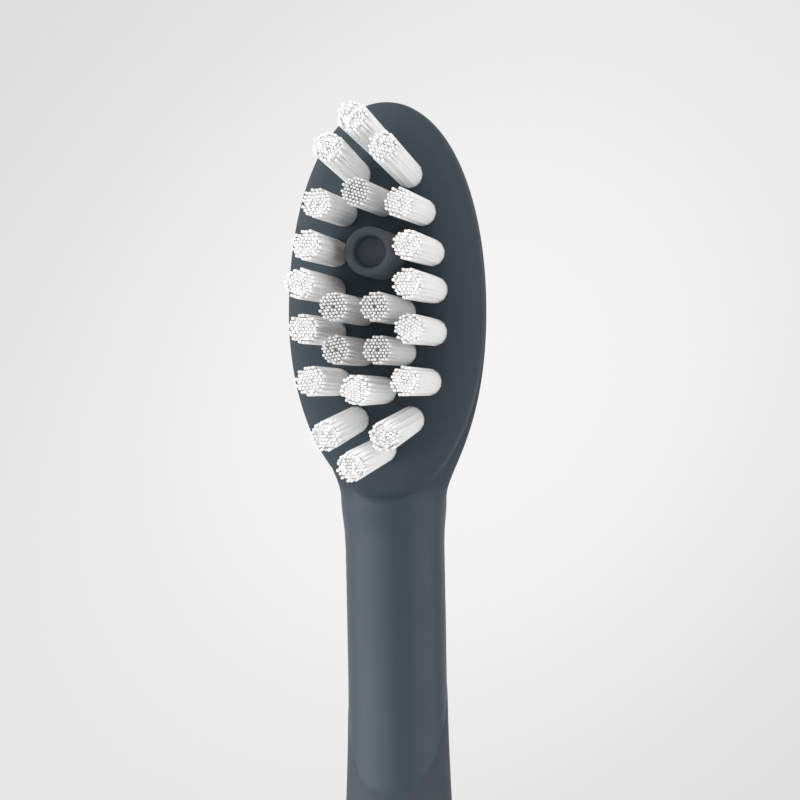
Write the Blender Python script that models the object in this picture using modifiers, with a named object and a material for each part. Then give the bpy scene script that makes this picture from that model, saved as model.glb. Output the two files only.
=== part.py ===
"""Sonic toothbrush: a sealed upright handle with a magnetic drive, and a pull-off tufted brush head.

Metres, +Z up. The origin is the centre of the flat base face. The bristles point to -Y and the
drive shaft runs up the Z axis.
"""
import math

import bmesh
import bpy
from mathutils import Matrix, Vector

# Overall sizes
HANDLE_HEIGHT = 0.1610
HEAD_GAP = 0.0008
BRUSH_LENGTH = 0.07813

# Clearances and small allowances
SEAT_GAP = 0.0001
SLIDE_GAP = 0.00005
FIT_GAP = 0.0003
OVERRUN = 0.0010
MERGE = 0.00001

# Handle housing
HOUSING_WALL = 0.0016
BASE_RADIUS = 0.0122
GRIP_RADIUS = 0.0130
GRIP_HEIGHT = 0.0550
SHOULDER_GAP = 0.0006
SWEEP_LENGTH = 0.0220
NOSE_RADIUS = 0.0056
NOSE_HEIGHT = 0.0070
TRIM_HEIGHT = 0.0016
NOSE_TOP = HANDLE_HEIGHT - TRIM_HEIGHT
NOSE_START = HANDLE_HEIGHT - NOSE_HEIGHT
SHOULDER_HEIGHT = NOSE_START - SWEEP_LENGTH

# What the handle holds is stacked down from the shoulder: the motor, then the chassis top, then the button
CASE_RADIUS = 0.0084
CASE_HEIGHT = 0.0354
CASE_ABOVE_SHOULDER = 0.0040
DAMPER_WALL = 0.0005
BUTTON_DROP = 0.0055
BUTTON_TRAVEL = 0.0003

# Drive shaft
SHAFT_RADIUS = 0.0018
JOURNAL_RADIUS = 0.0016
SHAFT_REACH = 0.0205
SHAFT_FLAT = 0.00125
SHAFT_TOP = HANDLE_HEIGHT + SHAFT_REACH

# Brush head: heights come from its tip and its base
BRUSH_BASE = HANDLE_HEIGHT + HEAD_GAP
HEAD_TOP = BRUSH_BASE + BRUSH_LENGTH
PLATE_UPPER = 0.01217
PLATE_LOWER = 0.01081
PLATE_LENGTH = PLATE_UPPER + PLATE_LOWER
PLATE_HALF_WIDTH = 0.00571
PLATE_DEPTH = 0.0030
PLATE_EDGE = 0.0012
PLATE_BACK_EDGE = 0.0009
PLATE_WIDEST = HEAD_TOP - PLATE_UPPER
PLATE_BOTTOM = HEAD_TOP - PLATE_LENGTH
FACE_FORWARD = 0.0065
HEAD_DEPTH = 0.0050
NECK_RADIUS = 0.00292
NECK_BASE_RADIUS = 0.00548
NECK_FORWARD = 0.0024

# Tufts
TUFT_RADIUS = 0.00083
TUFT_LENGTH = 0.0100
TUFT_HOLE_DEPTH = 0.0024

SHOULDER_RADIUS = CASE_RADIUS + SEAT_GAP + DAMPER_WALL + SHOULDER_GAP + HOUSING_WALL
CASE_TOP = SHOULDER_HEIGHT + CASE_ABOVE_SHOULDER
CASE_LOW = CASE_TOP - CASE_HEIGHT
CHASSIS_TOP = CASE_LOW - SEAT_GAP
BUTTON_HEIGHT = CHASSIS_TOP - BUTTON_DROP

# Counts of facets, and the angle past which an edge stays sharp
ROUND_STEPS = 32
SMALL_STEPS = 20
CORD_SIDES = 6
BARREL_RINGS = 9
SWEEP_RINGS = 7
NECK_RINGS = 15
SHOULDER_RINGS = 11
CROWN_STEPS = 8
SMOOTH_DEGREES = 35


# Tools for making the pieces

def clear_scene():
    for item in list(bpy.data.objects):
        bpy.data.objects.remove(item, do_unlink=True)


def new_collection(name):
    group = bpy.data.collections.new(name)
    bpy.context.scene.collection.children.link(group)
    return group


def finish(name, colour, roughness, metallic=0.0):
    """One Principled material with a piece's own colour."""
    made = bpy.data.materials.new(name)
    made.use_nodes = True
    shader = made.node_tree.nodes["Principled BSDF"]
    shader.inputs["Base Color"].default_value = (*colour, 1.0)
    shader.inputs["Roughness"].default_value = roughness
    shader.inputs["Metallic"].default_value = metallic
    return made


def place(name, mesh, material=None, smooth=True):
    """Put a mesh in the parts, or among the cutters when it has no material."""
    item = bpy.data.objects.new(name, mesh)
    if material:
        mesh.materials.append(material)
        PARTS.objects.link(item)
    else:
        item.hide_render = True
        item.display_type = "WIRE"
        CUTTERS.objects.link(item)
    if smooth:
        mesh.shade_smooth()
        mesh.set_sharp_from_angle(angle=math.radians(SMOOTH_DEGREES))
    return item


def to_object(name, shape, material=None, smooth=True):
    mesh = bpy.data.meshes.new(name)
    shape.to_mesh(mesh)
    shape.free()
    return place(name, mesh, material, smooth)


def turned(name, profile, material=None, steps=ROUND_STEPS, closed=True):
    """Turn a profile of (radius, height) points about Z, listed down its outer side first."""
    shape = bmesh.new()
    corners = [shape.verts.new((radius, 0, height)) for radius, height in profile]
    for first, second in zip(corners, corners[1:]):
        shape.edges.new((first, second))
    if closed:
        shape.edges.new((corners[-1], corners[0]))
    item = to_object(name, shape, material, smooth=False)
    screw = item.modifiers.new("turn", "SCREW")
    screw.steps = steps
    screw.render_steps = steps
    screw.use_merge_vertices = True
    screw.merge_threshold = MERGE
    screw.use_smooth_shade = True
    return item


def ring(name, inner, outer, low, high, material=None, steps=ROUND_STEPS):
    """A plain ring of square section."""
    return turned(name, [(outer, high), (outer, low), (inner, low), (inner, high)], material, steps)


def disc(name, radius, low, high, material=None):
    """A solid upright disc."""
    return turned(name, [(0, high), (radius, high), (radius, low), (0, low)], material, closed=False)


def block(name, low, high, material=None, edge=0.0):
    """A box between two corners, with its edges rounded where edge is given."""
    low, high = Vector(low), Vector(high)
    shape = bmesh.new()
    bmesh.ops.create_cube(shape, size=1)
    bmesh.ops.scale(shape, vec=high - low, verts=shape.verts)
    bmesh.ops.translate(shape, vec=(low + high) / 2, verts=shape.verts)
    item = to_object(name, shape, material, smooth=False)
    if edge:
        soften(item, edge)
    return item


def soften(item, width, segments=1, degrees=40):
    bevel = item.modifiers.new("soften", "BEVEL")
    bevel.width = width
    bevel.segments = segments
    bevel.limit_method = "ANGLE"
    bevel.angle_limit = math.radians(degrees)
    return item


def stadium(name, half_width, half_height, low, high, height, material=None):
    """A prism along Y with a stadium outline centred on the button's height."""
    outline = bmesh.new()
    straight = half_height - half_width
    turns = SMALL_STEPS // 2
    corners = []
    for side in (1, -1):
        for step in range(turns + 1):
            angle = math.pi * step / turns + (0 if side > 0 else math.pi)
            across = half_width * math.cos(angle)
            up = half_width * math.sin(angle) + side * straight
            corners.append(outline.verts.new((across, low, height + up)))
    cap = outline.faces.new(corners)
    grown = bmesh.ops.extrude_face_region(outline, geom=[cap])
    moved = [part for part in grown["geom"] if isinstance(part, bmesh.types.BMVert)]
    bmesh.ops.translate(outline, vec=(0, high - low, 0), verts=moved)
    bmesh.ops.recalc_face_normals(outline, faces=outline.faces)
    return to_object(name, outline, material)


def rod(name, radius, start, end, material=None, steps=SMALL_STEPS):
    """A round rod between two points."""
    start, end = Vector(start), Vector(end)
    along = end - start
    shape = bmesh.new()
    turn = along.to_track_quat("Z", "Y").to_matrix().to_4x4()
    bmesh.ops.create_cone(
        shape, cap_ends=True, segments=steps, radius1=radius, radius2=radius,
        depth=along.length, matrix=Matrix.Translation((start + end) / 2) @ turn,
    )
    return to_object(name, shape, material)


def d_rod(name, radius, flat, low, high):
    """A round rod with one flat on its front side."""
    shape = bmesh.new()
    bmesh.ops.create_cone(
        shape, cap_ends=True, segments=SMALL_STEPS, radius1=radius, radius2=radius,
        depth=high - low, matrix=Matrix.Translation((0, 0, (low + high) / 2)),
    )
    cut = bmesh.ops.bisect_plane(
        shape, geom=shape.verts[:] + shape.edges[:] + shape.faces[:], dist=MERGE,
        plane_co=(0, -flat, 0), plane_no=(0, -1, 0), clear_outer=True,
    )
    opened = [part for part in cut["geom_cut"] if isinstance(part, bmesh.types.BMEdge)]
    bmesh.ops.holes_fill(shape, edges=opened)
    return to_object(name, shape)


def combine(item, tool, operation):
    boolean = item.modifiers.new(f"{operation.lower()} {tool.name}", "BOOLEAN")
    boolean.operation = operation
    boolean.object = tool
    return item


def cut(item, *tools):
    for tool in tools:
        combine(item, tool, "DIFFERENCE")
    return item


def join(item, *tools):
    for tool in tools:
        combine(item, tool, "UNION")
    return item


def ease(share):
    """Rise from 0 to 1 with level ends."""
    share = min(1.0, max(0.0, share))
    return share * share * (3 - 2 * share)


def between(low, high, count):
    """Evenly spaced values from low to high."""
    return [low + (high - low) * step / (count - 1) for step in range(count)]


# Handle housing: one moulded tube, open below for the base cap, closed by a lip at the nose

CAP_EDGE = 0.0020
HOUSING_LOW = 0.0025
LIP_THICKNESS = 0.0015
LIP_RADIUS = 0.0026


def housing_radius(height):
    """Outer radius: a slight barrel up to the shoulder, then a long sweep in to the nose."""
    if height < GRIP_HEIGHT:
        return BASE_RADIUS + (GRIP_RADIUS - BASE_RADIUS) * ease(height / GRIP_HEIGHT)
    if height < SHOULDER_HEIGHT:
        rise = (height - GRIP_HEIGHT) / (SHOULDER_HEIGHT - GRIP_HEIGHT)
        return GRIP_RADIUS + (SHOULDER_RADIUS - GRIP_RADIUS) * ease(rise)
    rise = (height - SHOULDER_HEIGHT) / (NOSE_START - SHOULDER_HEIGHT)
    return SHOULDER_RADIUS + (NOSE_RADIUS - SHOULDER_RADIUS) * ease(rise)


def make_housing():
    barrel = between(HOUSING_LOW, SHOULDER_HEIGHT, BARREL_RINGS)
    sweep = between(SHOULDER_HEIGHT, NOSE_START, SWEEP_RINGS)[1:]
    outer = [(housing_radius(height), height) for height in barrel + sweep]
    inner = [(radius - HOUSING_WALL, height) for radius, height in outer]
    lip_low = NOSE_TOP - LIP_THICKNESS
    outside = [(NOSE_RADIUS, NOSE_TOP), *reversed(outer)]
    inside = [*inner, (NOSE_RADIUS - HOUSING_WALL, lip_low), (LIP_RADIUS, lip_low), (LIP_RADIUS, NOSE_TOP)]
    housing = turned("handle_housing", outside + inside, SHELL_FINISH)
    opening = stadium(
        "button_opening", BUTTON_HALF_WIDTH + BUTTON_GAP, BUTTON_HALF_HEIGHT + BUTTON_GAP,
        -GRIP_RADIUS - OVERRUN, -BUTTON_BACK, BUTTON_HEIGHT,
    )
    window = rod(
        "light_opening", LIGHT_RADIUS + SEAT_GAP,
        (0, -GRIP_RADIUS - OVERRUN, LIGHT_HEIGHT), (0, -PILLAR_RADIUS, LIGHT_HEIGHT),
    )
    return cut(housing, opening, window)


def make_nose_trim():
    """Accent ring on top of the nose, round the shaft."""
    edge = TRIM_HEIGHT / 3
    low = NOSE_TOP + SLIDE_GAP
    turned("nose_trim_ring", [
        (NOSE_RADIUS - edge, HANDLE_HEIGHT), (NOSE_RADIUS, HANDLE_HEIGHT - edge), (NOSE_RADIUS, low),
        (LIP_RADIUS, low), (LIP_RADIUS, HANDLE_HEIGHT),
    ], TRIM_FINISH)


SEAL_HEIGHT = 0.0056


def make_shaft_seal():
    """Rubber boot that closes the nose round the shaft."""
    high = NOSE_TOP - LIP_THICKNESS - SEAT_GAP
    low = high - SEAL_HEIGHT
    outer = NOSE_RADIUS - HOUSING_WALL - SEAT_GAP
    inner = SHAFT_RADIUS + SLIDE_GAP
    waist = (outer + inner) / 2
    turned("shaft_seal", [
        (outer, high), (outer, high - SEAL_HEIGHT / 3), (waist, high - SEAL_HEIGHT / 2), (waist, low),
        (inner, low), (inner, high),
    ], SEAL_FINISH, SMALL_STEPS)


# Depths of the button, the switch, the board and the chassis face, from the housing's wall inwards

BUTTON_DEPTH = 0.00145
PLUNGER_PROUD = 0.0005
SWITCH_DEPTH = 0.0009
BOARD_THICKNESS = 0.0010
BOARD_SEAT = 0.00015

BUTTON_BACK = housing_radius(BUTTON_HEIGHT) - HOUSING_WALL - BUTTON_DEPTH
PLUNGER_FRONT = BUTTON_BACK - SEAT_GAP
SWITCH_FRONT = PLUNGER_FRONT - PLUNGER_PROUD
SWITCH_BACK = SWITCH_FRONT - SWITCH_DEPTH
BOARD_FRONT = SWITCH_BACK - SLIDE_GAP
BOARD_BACK = BOARD_FRONT - BOARD_THICKNESS
CHASSIS_FRONT = BOARD_BACK - BOARD_SEAT


# Base: flat cap with its O-ring, and the charging coil that sits over it

CAP_FLOOR = 0.0018
CAP_PLUG_HEIGHT = 0.0084
CAP_WALL = 0.0016
CAP_RADIUS = BASE_RADIUS - HOUSING_WALL - SEAT_GAP
CAP_CUP_RADIUS = CAP_RADIUS - CAP_WALL
CORD_RADIUS = 0.00045
GROOVE_HEIGHT = 0.0052
COIL_HEIGHT = 0.0040
COIL_INNER = 0.0041
CORE_FLANGE = 0.0023


def make_base_cap():
    flange = HOUSING_LOW - FIT_GAP
    groove_half = CORD_RADIUS + SEAT_GAP
    groove_floor = CAP_RADIUS - 2 * CORD_RADIUS
    turned("base_cap", [
        (0, CAP_FLOOR), (CAP_CUP_RADIUS, CAP_FLOOR), (CAP_CUP_RADIUS, CAP_PLUG_HEIGHT),
        (CAP_RADIUS, CAP_PLUG_HEIGHT), (CAP_RADIUS, GROOVE_HEIGHT + groove_half),
        (groove_floor, GROOVE_HEIGHT + groove_half), (groove_floor, GROOVE_HEIGHT - groove_half),
        (CAP_RADIUS, GROOVE_HEIGHT - groove_half), (CAP_RADIUS, flange), (BASE_RADIUS, flange),
        (BASE_RADIUS, CAP_EDGE), (BASE_RADIUS - CAP_EDGE / 4, CAP_EDGE / 3),
        (BASE_RADIUS - CAP_EDGE, 0), (0, 0),
    ], TRIM_FINISH, closed=False)


def make_cap_seal():
    shape = bmesh.new()
    centre = CAP_RADIUS - CORD_RADIUS + SLIDE_GAP
    profile = bmesh.ops.create_circle(
        shape, segments=CORD_SIDES, radius=CORD_RADIUS,
        matrix=Matrix.Translation((centre, 0, GROOVE_HEIGHT)) @ Matrix.Rotation(math.pi / 2, 4, "X"),
    )
    bmesh.ops.spin(
        shape, geom=profile["verts"] + shape.edges[:], cent=(0, 0, 0), axis=(0, 0, 1),
        angle=2 * math.pi, steps=ROUND_STEPS, use_merge=True,
    )
    bmesh.ops.recalc_face_normals(shape, faces=shape.faces)
    to_object("cap_o_ring", shape, SEAL_FINISH)


def make_charging_set():
    low = CAP_FLOOR + SEAT_GAP
    outer = CAP_CUP_RADIUS - FIT_GAP
    post = COIL_INNER - FIT_GAP
    ring("charging_coil", COIL_INNER, outer, low, low + COIL_HEIGHT, COPPER_FINISH)
    flange_low = low + COIL_HEIGHT + SEAT_GAP
    flange_high = flange_low + CORE_FLANGE
    turned("charging_core", [
        (0, flange_high), (outer, flange_high), (outer, flange_low), (post, flange_low), (post, low), (0, low),
    ], FERRITE_FINISH, closed=False)


# Chassis: the moulded frame that slides in from below and carries the cell, the board and the motor

PILLAR_GAP = 0.00035
WEB_THICKNESS = 0.0010
CELL_LENGTH = 0.0500
CELL_INSET = 0.0008
CELL_FLOOR = 0.0113
CONTACT_THICKNESS = 0.0003
TERMINAL_RADIUS = 0.0028
TERMINAL_HEIGHT = 0.0010
POCKET_GAP = 0.0002
DECK = 0.0035
BAY_HALF_WIDTH = 0.0060

# The narrowest place of the housing along the chassis sets the chassis, and the room left behind the
# board sets the cell
PILLAR_RADIUS = min(BASE_RADIUS, GRIP_RADIUS, housing_radius(CHASSIS_TOP)) - HOUSING_WALL - PILLAR_GAP
CELL_RADIUS = (PILLAR_RADIUS - CELL_INSET + CHASSIS_FRONT - WEB_THICKNESS - POCKET_GAP) / 2
CELL_BACK = PILLAR_RADIUS - CELL_INSET - CELL_RADIUS


def cell_stack():
    """Heights of the lower contact, the cell, its terminal and the upper contact, from the pocket floor."""
    lower = CELL_FLOOR + SEAT_GAP
    cell = lower + CONTACT_THICKNESS + SEAT_GAP
    terminal = cell + CELL_LENGTH
    upper = terminal + TERMINAL_HEIGHT + SEAT_GAP
    return lower, cell, terminal, upper, upper + CONTACT_THICKNESS + SEAT_GAP


def make_chassis():
    low = CAP_PLUG_HEIGHT + SEAT_GAP
    ceiling = cell_stack()[-1]
    chassis = disc("chassis", PILLAR_RADIUS, low, CHASSIS_TOP, FRAME_FINISH)
    front = block(
        "chassis_front_cut", (-PILLAR_RADIUS - OVERRUN, -PILLAR_RADIUS - OVERRUN, low + DECK / 2),
        (PILLAR_RADIUS + OVERRUN, -CHASSIS_FRONT, CHASSIS_TOP + OVERRUN),
    )
    pocket = rod(
        "cell_pocket", CELL_RADIUS + POCKET_GAP, (0, CELL_BACK, CELL_FLOOR), (0, CELL_BACK, ceiling),
        steps=ROUND_STEPS,
    )
    back = block(
        "pocket_mouth", (-CELL_RADIUS - POCKET_GAP, CELL_BACK, CELL_FLOOR),
        (CELL_RADIUS + POCKET_GAP, PILLAR_RADIUS + OVERRUN, ceiling),
    )
    bay = block(
        "wiring_bay", (-BAY_HALF_WIDTH, -CHASSIS_FRONT / 2, ceiling + DECK),
        (BAY_HALF_WIDTH, PILLAR_RADIUS + OVERRUN, CHASSIS_TOP - DECK),
    )
    cut(chassis, front, pocket, back, bay)


def make_cell():
    lower, cell, terminal, upper, _ = cell_stack()
    edge = TERMINAL_HEIGHT / 2
    battery = turned("battery_cell", [
        (0, terminal + TERMINAL_HEIGHT), (TERMINAL_RADIUS, terminal + TERMINAL_HEIGHT), (TERMINAL_RADIUS, terminal),
        (CELL_RADIUS - edge, terminal), (CELL_RADIUS, terminal - edge), (CELL_RADIUS, cell + edge),
        (CELL_RADIUS - edge, cell), (0, cell),
    ], CELL_FINISH, closed=False)
    battery.location.y = CELL_BACK
    half = CELL_RADIUS / 2
    for name, low in (("lower_contact", lower), ("upper_contact", upper)):
        block(
            name, (-half, CELL_BACK - half, low), (half, CELL_BACK + half, low + CONTACT_THICKNESS), BRASS_FINISH,
        )


# Power button: a cap that fills the opening, on a flange that the housing's wall holds in

BUTTON_HALF_WIDTH = 0.0034
BUTTON_HALF_HEIGHT = 0.0060
BUTTON_PROUD = 0.0006
BUTTON_GAP = 0.00015
BUTTON_LIP = 0.0009
BUTTON_EDGE = 0.0004
BUTTON_EDGE_STEPS = 2


def make_power_button():
    face = housing_radius(BUTTON_HEIGHT) + BUTTON_PROUD
    held = housing_radius(BUTTON_HEIGHT + BUTTON_HALF_HEIGHT + BUTTON_LIP) - HOUSING_WALL - SEAT_GAP
    button = stadium(
        "power_button", BUTTON_HALF_WIDTH, BUTTON_HALF_HEIGHT, -face, -BUTTON_BACK, BUTTON_HEIGHT, BUTTON_FINISH,
    )
    soften(button, BUTTON_EDGE, BUTTON_EDGE_STEPS)
    flange = stadium(
        "button_flange", BUTTON_HALF_WIDTH + BUTTON_LIP, BUTTON_HALF_HEIGHT + BUTTON_LIP,
        -face, -BUTTON_BACK, BUTTON_HEIGHT,
    )
    reach = 2 * BUTTON_HALF_HEIGHT
    trim = disc("button_flange_trim", held, BUTTON_HEIGHT - reach, BUTTON_HEIGHT + reach)
    combine(flange, trim, "INTERSECT")
    join(button, flange)


# Circuit board and what is on it, from the button inwards

PLUNGER_RADIUS = 0.0007
PLUNGER_DEPTH = 0.0003
SWITCH_HALF = 0.0017
BOARD_LOW = 0.0210
BOARD_HIGH = CHASSIS_TOP - BOARD_THICKNESS * 1.5
CHIP_HALF = 0.0025
CHIP_THICKNESS = 0.0009
CHIP_RISE = 0.0270
CHIP_HEIGHT = BOARD_LOW + CHIP_RISE
LIGHT_RADIUS = 0.0011
LIGHT_SPACE = 0.0081
LIGHT_HEIGHT = BUTTON_HEIGHT - BUTTON_HALF_HEIGHT - BUTTON_LIP - LIGHT_SPACE
LED_THICKNESS = 0.0007
BOARD_WIDTH_SHARE = 0.656
BOARD_HALF_WIDTH = BOARD_WIDTH_SHARE * PILLAR_RADIUS


def make_board():
    block(
        "circuit_board", (-BOARD_HALF_WIDTH, -BOARD_FRONT, BOARD_LOW), (BOARD_HALF_WIDTH, -BOARD_BACK, BOARD_HIGH),
        BOARD_FINISH,
    )
    block(
        "control_chip", (-CHIP_HALF, -BOARD_FRONT - SLIDE_GAP - CHIP_THICKNESS, CHIP_HEIGHT - CHIP_HALF),
        (CHIP_HALF, -BOARD_FRONT - SLIDE_GAP, CHIP_HEIGHT + CHIP_HALF), CHIP_FINISH, edge=CHIP_THICKNESS / 6,
    )


def make_switch():
    body = block(
        "switch_body", (-SWITCH_HALF, -SWITCH_FRONT, BUTTON_HEIGHT - SWITCH_HALF),
        (SWITCH_HALF, -SWITCH_BACK, BUTTON_HEIGHT + SWITCH_HALF), STEEL_FINISH,
    )
    well_floor = SWITCH_FRONT - PLUNGER_DEPTH - BUTTON_TRAVEL - SEAT_GAP
    well = rod(
        "plunger_well", PLUNGER_RADIUS + SLIDE_GAP,
        (0, -SWITCH_FRONT - OVERRUN, BUTTON_HEIGHT), (0, -well_floor, BUTTON_HEIGHT),
    )
    cut(body, well)
    rod(
        "switch_plunger", PLUNGER_RADIUS, (0, -PLUNGER_FRONT, BUTTON_HEIGHT),
        (0, -SWITCH_FRONT + PLUNGER_DEPTH, BUTTON_HEIGHT), BUTTON_FINISH,
    )


def make_light():
    """Clear pin through the housing, over a lamp chip on the board."""
    chip_front = BOARD_FRONT + SLIDE_GAP + LED_THICKNESS
    block(
        "lamp_chip", (-LIGHT_RADIUS, -chip_front, LIGHT_HEIGHT - LIGHT_RADIUS),
        (LIGHT_RADIUS, -BOARD_FRONT - SLIDE_GAP, LIGHT_HEIGHT + LIGHT_RADIUS), LAMP_FINISH,
    )
    rod(
        "light_pin", LIGHT_RADIUS, (0, -housing_radius(LIGHT_HEIGHT) - SEAT_GAP, LIGHT_HEIGHT),
        (0, -chip_front - SEAT_GAP, LIGHT_HEIGHT), LAMP_FINISH,
    )


# Motor: a steel case, a U-shaped iron core with its coil, and two bearing plates

CASE_WALL = 0.0005
CASE_END = 0.0008
CASE_MOUTH = 0.0030
CORE_ARM = 0.0018
CORE_SEAT = 0.0004
CORE_HALF_DEPTH = 0.0030
CORE_BAR = 0.0030
CORE_ARM_HEIGHT = 0.0230
COIL_HALF_LENGTH = 0.0036
COIL_WALL = 0.0022
COIL_CLEARANCE = 0.0002
REAR_BEARING_THICKNESS = 0.0031
FRONT_BEARING_THICKNESS = 0.0040
DAMPER_HEIGHT = 0.0060

BAR_LOW = CASE_LOW + COIL_WALL + COIL_CLEARANCE + SEAT_GAP
BAR_HIGH = BAR_LOW + CORE_BAR
COIL_TOP = BAR_HIGH + COIL_CLEARANCE + COIL_WALL
REAR_LOW = COIL_TOP + FIT_GAP
REAR_HIGH = REAR_LOW + REAR_BEARING_THICKNESS
CORE_TOP = BAR_LOW + CORE_ARM_HEIGHT
PLATE_RADIUS = CASE_RADIUS - CASE_WALL - SEAT_GAP
CORE_REACH = math.sqrt(PLATE_RADIUS ** 2 - CORE_HALF_DEPTH ** 2) - CORE_SEAT
CORE_GAP = CORE_REACH - CORE_ARM


def make_motor():
    case_inner = CASE_RADIUS - CASE_WALL
    turned("motor_case", [
        (CASE_RADIUS - CASE_WALL, CASE_TOP), (CASE_RADIUS, CASE_TOP - CASE_WALL), (CASE_RADIUS, CASE_LOW),
        (case_inner, CASE_LOW), (case_inner, CASE_TOP - CASE_END), (CASE_MOUTH, CASE_TOP - CASE_END),
        (CASE_MOUTH, CASE_TOP),
    ], STEEL_FINISH)
    core = block(
        "stator_core", (-CORE_REACH, -CORE_HALF_DEPTH, BAR_LOW), (CORE_REACH, CORE_HALF_DEPTH, CORE_TOP),
        IRON_FINISH,
    )
    yard = block(
        "core_gap_cut", (-CORE_GAP, -CORE_HALF_DEPTH - OVERRUN, BAR_HIGH),
        (CORE_GAP, CORE_HALF_DEPTH + OVERRUN, CORE_TOP + OVERRUN),
    )
    cut(core, yard)
    inner = CORE_HALF_DEPTH + COIL_CLEARANCE
    outer = inner + COIL_WALL
    coil = block(
        "drive_coil", (-COIL_HALF_LENGTH, -outer, BAR_LOW - COIL_CLEARANCE - COIL_WALL),
        (COIL_HALF_LENGTH, outer, COIL_TOP), COPPER_FINISH,
    )
    hollow = block(
        "coil_hollow", (-COIL_HALF_LENGTH - OVERRUN, -inner, BAR_LOW - COIL_CLEARANCE),
        (COIL_HALF_LENGTH + OVERRUN, inner, BAR_HIGH + COIL_CLEARANCE),
    )
    cut(coil, hollow)


def make_bearings():
    bore = JOURNAL_RADIUS + SLIDE_GAP
    rear = ring("rear_bearing_plate", bore, PLATE_RADIUS, REAR_LOW, REAR_HIGH, BEARING_FINISH)
    for side in (-1, 1):
        edges = sorted((side * (CORE_GAP - SEAT_GAP), side * (CORE_REACH + SEAT_GAP)))
        slot = block(
            f"core_slot_{'left' if side < 0 else 'right'}",
            (edges[0], -CORE_HALF_DEPTH - SEAT_GAP, REAR_LOW - OVERRUN),
            (edges[1], CORE_HALF_DEPTH + SEAT_GAP, REAR_HIGH + OVERRUN),
        )
        cut(rear, slot)
    high = CASE_TOP - CASE_END - SEAT_GAP
    ring("front_bearing_plate", bore, PLATE_RADIUS, high - FRONT_BEARING_THICKNESS, high, BEARING_FINISH)


def make_damper():
    """Rubber sleeve between the motor case and the housing."""
    high = CASE_TOP - 2 * CASE_WALL
    low = high - DAMPER_HEIGHT
    inner = CASE_RADIUS + SEAT_GAP
    ring("motor_damper", inner, inner + DAMPER_WALL, low, high, SEAL_FINISH)


# Drive shaft with its yoke and magnets: this is what swings

YOKE_WALL = 0.00055
YOKE_HALF_WIDTH = JOURNAL_RADIUS + SLIDE_GAP + YOKE_WALL
YOKE_HALF_DEPTH = 0.0024
YOKE_RISE = 0.0010
YOKE_HEIGHT = 0.0090
AIR_GAP = 0.00085
MAGNET_THICKNESS = CORE_GAP - AIR_GAP - YOKE_HALF_WIDTH - SLIDE_GAP
MAGNET_HALF_DEPTH = 0.0018
SHAFT_TIP = 0.0005
FLAT_RISE = 0.0029


def make_shaft():
    low = REAR_LOW + SEAT_GAP
    step = CASE_TOP + CASE_WALL
    shaft = turned("drive_shaft", [
        (0, SHAFT_TOP), (SHAFT_RADIUS - SHAFT_TIP, SHAFT_TOP), (SHAFT_RADIUS, SHAFT_TOP - SHAFT_TIP),
        (SHAFT_RADIUS, step), (JOURNAL_RADIUS, step), (JOURNAL_RADIUS, low), (0, low),
    ], STEEL_FINISH, SMALL_STEPS, closed=False)
    flat = block(
        "shaft_flat_cut", (-SHAFT_RADIUS - OVERRUN, -SHAFT_RADIUS - OVERRUN, HANDLE_HEIGHT + FLAT_RISE),
        (SHAFT_RADIUS + OVERRUN, -SHAFT_FLAT, SHAFT_TOP + OVERRUN),
    )
    cut(shaft, flat)


def make_rotor():
    low = REAR_HIGH + YOKE_RISE
    high = low + YOKE_HEIGHT
    yoke = block(
        "rotor_yoke", (-YOKE_HALF_WIDTH, -YOKE_HALF_DEPTH, low), (YOKE_HALF_WIDTH, YOKE_HALF_DEPTH, high), IRON_FINISH,
    )
    bore = rod(
        "yoke_bore", JOURNAL_RADIUS + SLIDE_GAP, (0, 0, low - OVERRUN), (0, 0, high + OVERRUN),
    )
    cut(yoke, bore)
    inner = YOKE_HALF_WIDTH + SLIDE_GAP
    for name, side in (("magnet_left", -1), ("magnet_right", 1)):
        edges = sorted((side * inner, side * (inner + MAGNET_THICKNESS)))
        block(
            name, (edges[0], -MAGNET_HALF_DEPTH, low + OVERRUN / 2), (edges[1], MAGNET_HALF_DEPTH, high - OVERRUN / 2),
            MAGNET_FINISH,
        )


# Brush head: an oval bristle plate on a lofted back and neck

SPIGOT_HEIGHT = 0.0025
SPIGOT_RADIUS = 0.0049
CHAMBER_RADIUS = 0.0044
CHAMBER_HEIGHT = 0.0070
SOCKET_BORE = 0.00255
SOCKET_DEPTH = 0.0250
FLARE_START = 0.0105
LEAN_END = 0.0290
SHOULDER_RISE = 0.00018
SHOULDER_RUN = 0.0026
PLATE_LAP = 0.00006
BACK_FULLNESS = 0.0023
BLEND_POWER = 4
OVAL_POWER = 2.1
RING_POINTS = 28
PLATE_POINTS = 44
PLATE_EDGE_STEPS = 3
PLATE_BACK_STEPS = 2


def head_half_width(height, full):
    """Half-width of the oval head at a height: a slightly full oval above, an ellipse below."""
    above = height > PLATE_WIDEST
    reach = PLATE_UPPER if above else PLATE_LOWER
    power = OVAL_POWER if above else 2
    rise = abs(height - PLATE_WIDEST) / reach
    return full * max(0.0, 1 - rise ** power) ** (1 / power)


def neck_radius(height):
    """The neck is slimmest a little below the plate, and widens smoothly to its base."""
    start = PLATE_BOTTOM - FLARE_START
    fall = (start - height) / (start - BRUSH_BASE)
    rise = (height - PLATE_BOTTOM) / SHOULDER_RUN + 1
    return NECK_RADIUS + (NECK_BASE_RADIUS - NECK_RADIUS) * ease(fall) + SHOULDER_RISE * ease(rise)


def neck_forward(height):
    """How far the neck's axis stands in front of the shaft axis: the head is set forward."""
    fall = min(LEAN_END, max(0.0, PLATE_BOTTOM - height))
    return NECK_FORWARD * (1 - fall / LEAN_END) ** 2


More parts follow.
